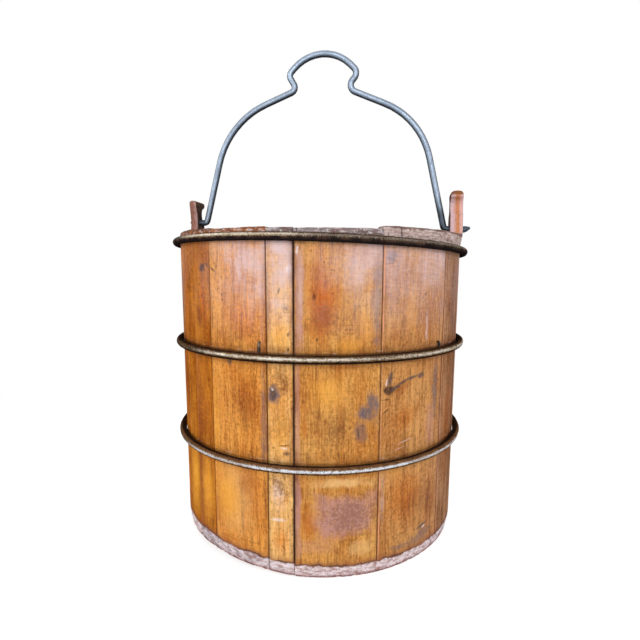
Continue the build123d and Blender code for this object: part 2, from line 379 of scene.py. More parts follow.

# Kinds of mark. One that tints darkens the grain below it, and the others cover it. A bloom mark is a
# milky bloom of the lacquer with painted sheen in it, and a glint mark is a painted highlight.
markPaint = {
    "knot": {"colour": paint(70, 48, 40), "soft": 0.6, "ragged": 0.7, "sunk": 0.3},
    "ring": {"colour": paint(126, 80, 50), "soft": 0.9, "ragged": 0.5, "sunk": 0.1, "rings": True},
    "stain": {"colour": paint(108, 92, 94), "soft": 0.7, "ragged": 0.8},
    "mauve": {"colour": paint(184, 136, 126), "soft": 0.65, "ragged": 0.7, "square": 0.9},
    "bloomAndSheen": {"colour": paint(230, 206, 204), "soft": 1.0, "ragged": 0.9},
    "glint": {"colour": paint(246, 240, 246), "soft": 0.7, "ragged": 0.9},
    "sand": {"colour": paint(234, 188, 124), "soft": 0.8, "ragged": 0.8, "square": 0.6},
    "fire": {"colour": paint(188, 102, 28), "soft": 1.0, "ragged": 0.7},
    "pits": {"colour": paint(112, 66, 36), "soft": 0.9, "ragged": 1.8, "sunk": 0.3, "grit": 360.0},
    "crack": {"colour": paint(96, 76, 70), "soft": 0.7, "ragged": 0.5, "sunk": 0.6},
    "scratch": {"colour": paint(52, 32, 24), "soft": 0.7, "ragged": 0.35, "sunk": 0.8},
    "speck": {"colour": paint(62, 36, 26), "soft": 0.7, "ragged": 0.4, "sunk": 0.8},
    "worn": {"colour": paint(128, 112, 108), "soft": 0.9, "ragged": 1.0},
    "ember": {"colour": paint(244, 190, 96), "soft": 1.0, "ragged": 0.6, "tint": True},
    "shade": {"colour": paint(206, 168, 138), "soft": 1.0, "ragged": 0.6, "tint": True},
    "glow": {"colour": paint(240, 166, 58), "soft": 1.0, "ragged": 0.6},
}

rimTones = {
    "glossy": {"colour": paint(166, 100, 58), "glint": 0.8},
    "grey": {"colour": paint(136, 124, 126), "glint": 0.6},
    "pale": {"colour": paint(190, 166, 158), "glint": 0.6},
}

# The handled ears: their sides from the inner edge to the outer, their faces and their crowns. The sides
# take painted light and the faces painted shade, as the light falls on them.
earTones = {
    "ear_stave_left": {
        "inner": paint(206, 166, 158), "middle": paint(150, 104, 92), "outer": paint(124, 82, 62),
        "face": paint(98, 76, 64), "shade": paint(58, 42, 36), "cap": paint(132, 112, 100),
        "capFrom": 0.3450,
    },
    "ear_stave_right": {
        "inner": paint(218, 184, 188), "middle": paint(204, 134, 92), "outer": paint(222, 174, 168),
        "face": paint(128, 78, 54), "shade": paint(84, 48, 32), "cap": paint(126, 78, 40),
        "capFrom": 0.3462,
    },
}

# One row for each stave, in order round the tub. Lifts, set backs, feet and foot bands are in
# millimetres, and eases in metres. The seam is how dark the joint at the left edge is. Feet and the haze
# of painted sheen are given at the left and right edges. Marks: kind, across and up, width and height in
# millimetres, turn in degrees, strength.
staves = [
    {
        "node": "ear_stave_left", "degrees": 32.0, "lift": 1.2, "tone": "amber", "rim": "glossy",
        "seam": 0.6, "shine": 0.0, "sheenHaze": (0.2, 0.2),
        "marks": [
            ("shade", 20, 204, 20, 90, 0, 0.5), ("speck", -12, 154, 3, 4, 0, 0.8),
            ("ember", -8, 90, 40, 80, 0, 0.4),
        ],
    },
    {
        "node": "stave_front_1", "degrees": 31.7, "lift": 1.2, "foot": (3.2, 4.6), "tone": "amber",
        "rim": "glossy", "back": 0.1, "seam": 0.5, "shine": 0.0, "sheenHaze": (0.3, 0.1), "footPale": 1.0,
        "footBand": 14,
        "marks": [
            ("stain", 2, 236, 26, 110, 0, 0.5), ("shade", 30, 220, 18, 110, 0, 0.6),
            ("ember", 20, 240, 22, 100, 0, 0.5), ("shade", 12, 150, 24, 120, 0, 0.6),
            ("glow", 30, 66, 44, 130, 0, 0.95), ("shade", 40, 110, 4, 200, 0, 0.4),
        ],
    },
    {
        "node": "stave_front_2", "degrees": 11.2, "lift": 0.4, "foot": (4.6, 5.4), "tone": "amber",
        "rim": "glossy", "back": 0.0, "seam": 0.12, "shine": 0.01, "sheenHaze": (0.05, 0.2),
        "footPale": 0.2, "footBand": 14,
        "marks": [
            ("knot", 3.0, 269.6, 13, 8, 10, 0.9), ("scratch", 4.0, 271.0, 12, 2.6, 36, 0.95),
            ("scratch", 11.0, 272.5, 10, 2.2, -32, 0.95), ("fire", -8, 269, 12, 7, 0, 0.8),
            ("shade", -4, 226, 20, 28, 0, 1.0), ("pits", -4, 224, 18, 24, 0, 0.5),
            ("ember", 3, 240, 16, 70, 0, 0.7), ("glow", 2, 66, 30, 120, 0, 0.8),
            ("shade", -10, 130, 5, 180, 0, 0.6), ("fire", 0, 150, 12, 80, 0, 0.35),
        ],
    },
    {
        "node": "stave_front_3", "degrees": 23.6, "lift": -0.6, "foot": (5.4, 2.7), "tone": "honey",
        "rim": "glossy", "back": 0.15, "seam": 0.2, "shine": 0.05, "sheenHaze": (0.4, 0.75),
        "footPale": 0.4, "footBand": 13,
        "marks": [
            ("scratch", -26.0, 268.4, 14, 2.2, -30, 0.9), ("sand", 0, 62, 56, 100, 0, 0.35),
            ("speck", -14.7, 246.5, 2.8, 4.2, 0, 0.85), ("speck", -14.4, 242.2, 3.2, 3.6, 0, 0.8),
            ("crack", -7.6, 188.4, 9, 7, -20, 0.8), ("scratch", -6, 189, 6, 1.6, 60, 0.6),
            ("bloomAndSheen", 17, 274, 30, 34, 0, 0.5), ("bloomAndSheen", 4.4, 268, 6, 40, 8, 0.5),
            ("bloomAndSheen", 25, 250, 12, 40, 0, 0.4), ("ember", 6, 230, 46, 46, 0, 0.65),
            ("shade", 10, 214, 30, 26, 0, 0.4), ("shade", 8, 156, 40, 60, 0, 0.6),
            ("pits", 8, 150, 40, 50, 0, 0.35), ("shade", 11, 84, 26, 44, 0, 0.7),
            ("glow", -26, 130, 16, 150, 0, 0.5), ("glow", -14, 62, 40, 90, 0, 0.7),
            ("stain", 27.5, 140, 8, 130, 0, 0.6), ("mauve", 27, 236, 5, 90, 0, 0.3),
            ("shade", -14, 206, 26, 26, 0, 0.4), ("pits", -4, 212, 46, 24, 0, 0.3),
            ("scratch", 12, 27, 26, 1.1, -3, 0.4), ("scratch", 8, 22.5, 22, 1.0, -4, 0.35),
            ("fire", 18, 60, 22, 50, 0, 0.3), ("mauve", 20, 200, 24, 5, 4, 0.35),
        ],
    },
    {
        "node": "stave_front_4", "degrees": 9.1, "lift": -1.5, "foot": (2.7, 1.1), "tone": "pale",
        "rim": "grey", "back": 0.35, "seam": 0.5, "sheenHaze": (0.8, 0.9), "footPale": 0.7,
        "footBand": 12.5, "rightEase": 0.0014,
        "marks": [
            ("stain", -5.8, 163.4, 14, 26, 0, 1.0), ("knot", -6.0, 165, 8, 16, 0, 0.75),
            ("glint", -7, 168, 2.4, 5, 20, 0.7), ("ring", 3.8, 171, 12, 24, 0, 0.9),
            ("fire", 4, 172, 6, 16, 0, 0.4), ("scratch", 4.0, 174, 1.3, 9, 16, 0.6),
            ("glint", 2.5, 117.2, 10, 3, 0, 0.6), ("crack", 5.4, 113.0, 11, 4.4, 8, 0.9),
            ("scratch", 2.4, 119.6, 15, 1.6, 6, 0.9), ("speck", -6.4, 117, 5, 2.4, 0, 0.6),
            ("speck", 7.3, 214.8, 3.8, 5.0, 0, 0.8), ("speck", 7.3, 202.3, 3.2, 3.8, 0, 0.8),
            ("ring", 5.8, 236.6, 12, 12, 0, 0.85), ("scratch", -0.5, 251.0, 1.9, 8, -12, 0.85),
            ("bloomAndSheen", 0, 286, 24, 16, 0, 0.8), ("bloomAndSheen", 0, 262, 24, 34, 0, 0.4),
            ("glint", 7.4, 268.8, 7, 10, 0, 0.8), ("bloomAndSheen", -2.6, 76, 19, 36, 0, 0.6),
            ("pits", -1, 84, 20, 30, 0, 0.7), ("glint", -2.8, 52.4, 17, 5, 0, 0.4),
            ("bloomAndSheen", 0.6, 240, 22, 12, 0, 0.5), ("glow", 0, 214, 24, 34, 0, 0.6),
            ("glow", 0, 130, 24, 60, 0, 0.5), ("fire", -11.0, 214, 2.4, 96, 0, 0.85),
            ("pits", 0, 136, 22, 36, 0, 0.35), ("ember", 0, 36, 24, 34, 0, 0.7),
            ("pits", 2, 176, 20, 24, 0, 0.5),
        ],
    },
    {
        "node": "stave_front_5", "degrees": 28.7, "lift": -2.0, "foot": (1.1, 0.0), "tone": "tan",
        "rim": "grey", "back": 0.1, "seam": 1.0, "sheenHaze": (0.1, 0.7), "footPale": 0.9, "footBand": 12,
        "leftEase": 0.0014,
        "marks": [
            ("shade", -20.5, 246.3, 8, 18, 4, 0.7), ("speck", -20.5, 246.3, 3.8, 9, 4, 0.95),
            ("speck", -18.0, 211.1, 2.8, 3.4, 0, 0.9), ("speck", -12.5, 274.5, 2.2, 2.4, 0, 0.8),
            ("scratch", -5, 268, 8, 1.2, -24, 0.6), ("shade", -18, 262, 32, 60, 0, 0.6),
            ("fire", -12, 246, 46, 92, 0, 0.5), ("ember", -14, 240, 40, 120, 0, 1.0),
            ("shade", -12, 229, 28, 30, 0, 0.9), ("pits", -12, 228, 36, 34, 0, 0.5),
            ("fire", -14, 226, 30, 28, 0, 0.3), ("glint", -34.6, 284, 3.6, 12, 0, 0.9),
            ("mauve", -32.6, 246, 9, 112, 0, 0.75), ("bloomAndSheen", -32.0, 250, 7, 90, 0, 0.3),
            ("mauve", -34.6, 150, 6, 150, 0, 0.6), ("mauve", -34.6, 60, 8, 88, 0, 0.85),
            ("stain", 24.5, 148.0, 24, 17, 4, 1.0), ("stain", 31, 158, 16, 26, 28, 0.95),
            ("stain", 20.4, 132, 18, 24, 0, 0.6), ("crack", 17.6, 131, 3.0, 13, 8, 0.9),
            ("speck", 22, 137, 6, 2, 0, 0.6), ("pits", 0, 134, 22, 34, 0, 0.55),
            ("pits", -10, 134, 56, 56, 0, 0.3), ("scratch", 1.2, 112, 1.5, 15, 3, 0.8),
            ("scratch", 5.6, 110, 1.4, 10, -4, 0.7), ("scratch", -6.5, 112, 1.2, 8, 2, 0.5),
            ("sand", 6, 87.5, 66, 11, 0, 0.8), ("mauve", 10, 58, 70, 50, 0, 1.0),
            ("pits", 12, 58, 60, 46, 0, 0.55), ("fire", -25, 50, 18, 56, 0, 0.8),
            ("mauve", -20, 30, 40, 16, 0, 0.25), ("sand", 22, 28, 30, 20, 0, 0.5),
            ("bloomAndSheen", 15, 264, 38, 60, 0, 0.55), ("worn", 33, 244, 11, 110, 0, 0.7),
            ("worn", 34, 150, 6, 60, 0, 0.4), ("glow", -10, 166, 44, 50, 0, 0.5),
            ("glow", 8, 204, 44, 30, 0, 0.5), ("glow", 24, 222, 20, 40, 0, 0.35),
            ("fire", -29, 136, 8, 34, 0, 0.6), ("scratch", 9, 223, 18, 0.9, 0, 0.45),
            ("scratch", 10, 219.6, 16, 0.9, -2, 0.45), ("scratch", 8, 216, 14, 0.9, 0, 0.4),
            ("shade", 2, 188, 60, 6, 0, 0.5),
        ],
    },
    {
        "node": "stave_front_6", "degrees": 30.2, "lift": 0.5, "tone": "sienna", "rim": "pale",
        "back": 0.2, "seam": 0.42, "shine": 0.05, "line": 0.9, "sheenHaze": (0.6, 0.7), "footPale": 0.9,
        "footBand": 12,
        "marks": [
            ("stain", -30.6, 280, 15, 13, 0, 0.9), ("scratch", -32.0, 273.8, 9, 1.4, 0, 0.95),
            ("speck", 7.5, 247.6, 3.4, 3.2, 0, 0.95), ("knot", -31.1, 165.6, 15, 12, 0, 1.0),
            ("crack", -30.0, 175.6, 7, 18, -14, 1.0), ("glint", -33.4, 173, 2.2, 8, -10, 0.6),
            ("crack", -24.0, 167.6, 17, 4.8, 26, 0.95), ("crack", -15.6, 171.8, 16, 4.4, 20, 0.95),
            ("crack", -5.6, 174.6, 17, 4.4, 8, 0.95), ("crack", 4.6, 175.4, 15, 8, 8, 0.9),
            ("shade", -16, 167, 40, 14, 20, 0.6), ("scratch", -33.8, 157.8, 12, 1.6, 2, 0.85),
            ("scratch", -33.6, 147.6, 8, 1.8, 34, 0.85), ("worn", 29, 160, 15, 66, 0, 0.85),
            ("pits", 30, 162, 12, 60, 0, 0.6), ("mauve", 22, 128, 18, 50, 0, 0.4),
            ("ember", -12, 139, 34, 30, 0, 0.6), ("ember", -8, 62, 62, 72, 0, 0.7),
            ("shade", 24, 52, 26, 70, 0, 0.8), ("shade", -4, 54, 18, 24, 0, 0.4),
            ("pits", 10, 56, 60, 40, 0, 0.4), ("bloomAndSheen", -35, 67, 7, 60, 0, 0.3),
            ("crack", 14, 30.4, 24, 5, 10, 0.85), ("glint", 17, 28.6, 7, 2.6, 20, 0.7),
            ("stain", 12, 21, 44, 16, 8, 0.6), ("stain", -16, 19.0, 24, 8, 0, 0.6),
            ("bloomAndSheen", -12, 118, 30, 1.8, 12, 0.6), ("bloomAndSheen", -20, 112, 20, 1.4, 10, 0.4),
            ("bloomAndSheen", 11.4, 216, 5, 40, 0, 0.6), ("shade", -26, 214, 16, 40, 0, 0.5),
            ("glow", -8, 236, 22, 60, 0, 0.35), ("crack", -22, 246, 1.6, 22, 26, 0.4),
            ("shade", 14, 226, 10, 60, 0, 0.5), ("glow", -22, 96, 26, 30, 0, 0.35),
        ],
    },
    {
        "node": "stave_front_7", "degrees": 13.5, "lift": 0.6, "tone": "brown", "rim": "pale",
        "back": 0.1, "seam": 0.4, "shine": 0.0, "line": 0.85, "sheenHaze": (0.25, 0.3), "footPale": 0.8,
        "footBand": 12,
        "marks": [
            ("shade", 4, 150, 40, 300, 0, 0.6), ("ember", -4, 240, 20, 60, 0, 0.6),
            ("stain", 8, 234, 14, 70, 0, 0.5), ("ember", 0, 110, 34, 120, 0, 0.7),
        ],
    },
    {
        "node": "ear_stave_right", "degrees": 32.0, "lift": 0.0, "tone": "brown", "rim": "pale",
        "seam": 0.6, "shine": 0.0, "sheenHaze": (0.45, 0.4),
        "marks": [
            # the dark strip down its left edge, where the wall turns away, is painted shade
            ("shade", -38, 150, 18, 330, 0, 1.0), ("stain", -39, 190, 8, 220, 0, 0.6),
            ("knot", 8, 126, 8, 13, 0, 0.8), ("bloomAndSheen", 4, 330, 26, 40, 0, 0.45),
        ],
    },
    {
        "node": "stave_back_1", "degrees": 27.0, "lift": 0.4, "foot": (1.2, 1.2), "tone": "tan",
        "rim": "pale", "back": 0.2, "seam": 0.7,
        "marks": [
            ("knot", 12, 218, 8, 12, 0, 0.8), ("bloomAndSheen", -6, 254, 40, 40, 0, 0.4),
            ("ember", 6, 94, 30, 80, 0, 0.6), ("mauve", -20, 150, 12, 160, 0, 0.5),
        ],
    },
    {
        "node": "stave_back_2", "degrees": 19.0, "lift": -0.4, "tone": "amber", "rim": "grey",
        "back": 0.0, "seam": 0.4,
        "marks": [
            ("shade", 8, 154, 18, 110, 0, 0.5), ("speck", -6, 240, 3, 6, 0, 0.8),
            ("glow", -6, 70, 18, 60, 0, 0.4),
        ],
    },
    {
        "node": "stave_back_3", "degrees": 31.0, "lift": 0.6, "foot": (0.9, 0.9), "tone": "honey",
        "rim": "grey", "back": 0.25, "seam": 0.9, "sheenHaze": (0.6, 0.5),
        "marks": [
            ("knot", -14, 142, 9, 14, 0, 0.8), ("mauve", 12, 54, 46, 44, 0, 0.8),
            ("scratch", 18, 230, 12, 1.4, 24, 0.7), ("stain", 34, 180, 8, 150, 0, 0.4),
        ],
    },
    {
        "node": "stave_back_4", "degrees": 24.0, "lift": -0.2, "tone": "russet", "rim": "glossy",
        "back": 0.1, "seam": 0.6, "sheenHaze": (0.3, 0.6),
        "marks": [
            ("ember", 0, 204, 30, 100, 0, 0.5), ("speck", 12, 126, 3, 5, 0, 0.8),
            ("glow", -12, 80, 18, 60, 0, 0.4),
        ],
    },
    {
        "node": "stave_back_5", "degrees": 29.0, "lift": 0.5, "foot": (0.6, 0.6), "tone": "tan",
        "rim": "glossy", "back": 0.2, "seam": 0.8, "sheenHaze": (0.7, 0.3),
        "marks": [
            ("stain", -16, 230, 20, 18, 0, 0.7), ("knot", 15, 66, 7, 11, 0, 0.8),
            ("bloomAndSheen", 0, 266, 50, 26, 0, 0.4), ("ember", 10, 150, 30, 90, 0, 0.5),
        ],
    },
    {
        "node": "stave_back_6", "degrees": 18.0, "lift": -0.6, "tone": "amber", "rim": "glossy",
        "back": 0.05, "seam": 0.5,
        "marks": [
            ("shade", -4, 144, 20, 120, 0, 0.5), ("scratch", 4, 84, 1.2, 22, 4, 0.6),
        ],
    },
]

# What a row leaves out
usualStave = {
    "sheenHaze": (0.4, 0.4), "foot": (0.0, 0.0), "shine": 0.10, "line": 0.0, "footBand": 12.0, "footPale": 0.6,
}
for stave in staves:
    for key, value in usualStave.items():
        stave.setdefault(key, value)
print("staves listed")


# Each layer: a value, where it starts and where it is full, the strength and the tone laid on there
def layTones(tree, colour, *layers):
    for value, low, high, strength, tone in layers:
        colour = blend(tree, spread(tree, value, low, high, 0.0, strength), colour, tone)
    return colour


# What a noise's row leaves out
usualNoise = {"on": "object", "across": 1.0, "up": 1.0, "detail": 3.0, "rough": 0.6, "seed": 0.0}


# Makes a table's noises. Each is on one of the places given, scaled across and up as its row says.
def makeNoises(tree, rows, places, seed=0.0):
    noises = {}
    for name, row in rows.items():
        look = {**usualNoise, **row}
        place = stretch(tree, places[look["on"]], across=look["across"], up=look["up"])
        own = plus(tree, seed, look["seed"])
        noises[name] = speckle(tree, place, look["scale"], look["detail"], look["rough"], own)
    return noises


grainNoises = {
    "bend": {"on": "lean", "scale": 34.0, "detail": 1.0, "rough": 0.5, "seed": 3.0},
    "cloud": {"on": "board", "scale": 26.0, "rough": 0.55, "up": 0.55},
    "streak": {"on": "swayed", "scale": 150.0, "rough": 0.55, "up": 0.035},
    "fibre": {"on": "swayed", "scale": 1300.0, "detail": 2.0, "up": 0.035},
    "mottle": {"on": "swayed", "scale": 240.0, "up": 0.10, "seed": 7.0},
    "pores": {"on": "swayed", "scale": 900.0, "detail": 2.0, "rough": 0.5, "up": 0.16, "seed": 11.0},
    "blotch": {"on": "board", "scale": 85.0, "detail": 4.0, "rough": 0.65, "up": 0.6, "seed": 17.0},
    "crumb": {"on": "board", "scale": 520.0, "detail": 4.0, "rough": 0.7, "up": 0.6, "seed": 23.0},
    "chatter": {"on": "board", "scale": 620.0, "detail": 2.0, "rough": 0.5, "across": 0.09},
}
grainLook = {
    "lean": 0.22, "swayScale": 16.0, "sway": 0.018, "ringScale": 620.0, "ringBend": 16.0, "ringPower": 3.0,
    "rings": 0.20, "streaks": 1.5,
}

# Layers of tone on the grain, as layTones takes them
grainLayers = [
    ("blotch", 0.50, 0.68, 0.8, "Deep"),
    ("blotch", 0.58, 0.74, 0.4, "Dark"),
    ("blotch", 0.46, 0.30, 0.6, "Light"),
    ("mottle", 0.50, 0.74, 0.75, "Dark"),
    ("fibre", 0.50, 0.68, 0.50, "Dark"),
    ("fibre", 0.47, 0.30, 0.65, "Light"),
    ("crumb", 0.50, 0.72, 0.85, "Dark"),
    ("crumb", 0.47, 0.33, 0.75, "Light"),
]


# Wood grain on board coordinates: colour, height of the fibres, and a cloud for the gloss
def makeGrainGroup():
    tree, takes, gives = newGroup(
        "boardGrain", "ShaderNodeTree",
        {"Vector": ["Board"], "Float": ["Seed"], "Color": ["Light", "Deep", "Dark"]},
        {"Color": ["Color"], "Float": ["Height", "Cloud"]},
    )
    board = takes["Board"]
    seed = takes["Seed"]
    look = grainLook
    lean = stretch(tree, board, up=look["lean"])
    sway = speckle(tree, lean, look["swayScale"], 1.0, 0.5, seed)
    parts = split(tree, board)
    shifted = calc(tree, "MULTIPLY_ADD", sway, look["sway"], parts[0])
    swayed = combine(tree, shifted, parts[1], parts[2])
    noise = makeNoises(tree, grainNoises, {"board": board, "lean": lean, "swayed": swayed}, seed)

    # a mix of the light and the deep tone, with growth rings over it
    figure = times(tree, shifted, look["ringScale"])
    figure = calc(tree, "MULTIPLY_ADD", noise["bend"], look["ringBend"], figure)
    ring = calc(tree, "MULTIPLY_ADD", calc(tree, "SINE", figure), 0.5, 0.5)
    ring = times(tree, calc(tree, "POWER", ring, look["ringPower"]), look["rings"])
    body = jitter(tree, noise["streak"], look["streaks"], spread(tree, noise["cloud"], 0.32, 0.70))
    colour = blend(tree, calc(tree, "ADD", body, 0.0, clamp=True), takes["Light"], takes["Deep"])
    colour = blend(tree, ring, colour, takes["Dark"])
    for name, low, high, strength, tone in grainLayers:
        colour = layTones(tree, colour, (noise[name], low, high, strength, takes[tone]))

    pores = spread(tree, noise["pores"], 0.64, 0.76, 0.0, 0.7)
    pores = times(tree, pores, spread(tree, noise["mottle"], 0.40, 0.62, 0.15, 1.0))
    colour = blend(tree, pores, colour, takes["Dark"])
    colour = layTones(tree, colour, (noise["chatter"], 0.50, 0.74, 0.25, takes["Dark"]))
    height = calc(tree, "MULTIPLY_ADD", noise["fibre"], -0.5, times(tree, noise["chatter"], 0.22))
    height = calc(tree, "MULTIPLY_ADD", noise["streak"], -0.6, height)
    tree.links.new(colour, gives["Color"])
    tree.links.new(height, gives["Height"])
    tree.links.new(noise["cloud"], gives["Cloud"])
    return tree


# A ragged oval, or a ragged box where it is square, at one place on the outer face of a board
def makeMarkGroup():
    sizes = ["Across", "Up", "Half Width", "Half Height", "Turn", "Ragged", "Soft", "Grit", "Square"]
    tree, takes, gives = newGroup(
        "woodMark", "ShaderNodeTree", {"Vector": ["Board"], "Float": sizes}, {"Float": ["Mask", "Rings"]},
    )
    parts = split(tree, takes["Board"])
    across = minus(tree, parts[0], takes["Across"])
    up = minus(tree, parts[2], takes["Up"])
    cosine = calc(tree, "COSINE", takes["Turn"])
    sine = calc(tree, "SINE", takes["Turn"])
    along = plus(tree, times(tree, across, cosine), times(tree, up, sine))
    over = minus(tree, times(tree, up, cosine), times(tree, across, sine))
    along = calc(tree, "DIVIDE", along, takes["Half Width"])
    over = calc(tree, "DIVIDE", over, takes["Half Height"])
    reach = calc(tree, "SQRT", plus(tree, times(tree, along, along), times(tree, over, over)))
    blunt = calc(tree, "MAXIMUM", calc(tree, "ABSOLUTE", along), calc(tree, "ABSOLUTE", over))
    reach = calc(tree, "MULTIPLY_ADD", minus(tree, blunt, reach), takes["Square"], reach)
    noise = speckle(tree, takes["Board"], takes["Grit"], 6.0, 0.66, takes["Across"])
    reach = jitter(tree, noise, times(tree, takes["Ragged"], 2.4), reach)
    mask = spread(tree, reach, 1.0, minus(tree, 1.0, takes["Soft"]))
    outside = spread(tree, parts[1], 0.004, 0.006, 1.0, 0.0)
    fibres = speckle(tree, stretch(tree, takes["Board"], up=0.3), 900.0, 2.0, 0.6, takes["Up"])
    mask = times(tree, mask, outside, spread(tree, fibres, 0.32, 0.58, 0.6, 1.0))
    rings = spread(tree, calc(tree, "SINE", times(tree, reach, 15.0)), -0.6, 0.9, 0.30, 1.0)
    rings = calc(tree, "MAXIMUM", rings, spread(tree, reach, 0.36, 0.16))
    tree.links.new(mask, gives["Mask"])
    tree.links.new(rings, gives["Rings"])
    return tree


wearNoises = {
    "grit": {"scale": 420.0, "detail": 4.0},
    "patch": {"scale": 90.0, "rough": 0.55},
    "broad": {"scale": 34.0},
    "crumbs": {"scale": 800.0},
    "ripple": {"on": "board", "scale": 560.0, "across": 0.22},
    "veil": {"on": "board", "scale": 330.0, "up": 0.07},
    "cracks": {"on": "board", "scale": 240.0, "up": 0.22},
    "slab": {"on": "board", "scale": 300.0, "detail": 4.0, "rough": 0.65, "across": 0.5},
}

# Colours and places of the wear on the staves, and of the sheen, glints, lit lines and shade painted on
# them
wearAndLightLook = {
    "sheenRise": (0.196, 0.292), "sheenHaze": paint(218, 192, 196),
    "jointReach": 0.0060, "jointStain": paint(112, 66, 48), "jointDirt": paint(44, 24, 16),
    "litLine": 0.0015, "lit": paint(230, 156, 118),
    "hoopReach": 0.0130, "hoopStain": paint(116, 66, 34), "hoopDirtAndShade": paint(40, 22, 14),
    "hoopGlint": paint(214, 180, 166),
    "rimStain": paint(124, 86, 68), "rimLight": paint(226, 210, 210), "rimDark": paint(84, 58, 50),
    "rimGlint": paint(246, 240, 242), "rimCrack": paint(58, 38, 32),
    "lipRise": (0.3020, 0.3036), "lipEnd": (0.3060, 0.3090), "lip": paint(78, 46, 32),
    "footStain": paint(132, 76, 58), "footBrown": paint(140, 96, 84), "footLight": paint(248, 244, 248),
    "footCrumb": paint(96, 76, 78), "footEdge": paint(92, 60, 50),
    "ashen": (paint(136, 122, 126), paint(214, 204, 212)),
    "rosy": (paint(178, 144, 140), paint(240, 224, 228)),
    "sole": (paint(104, 52, 42), paint(206, 150, 140)),
}
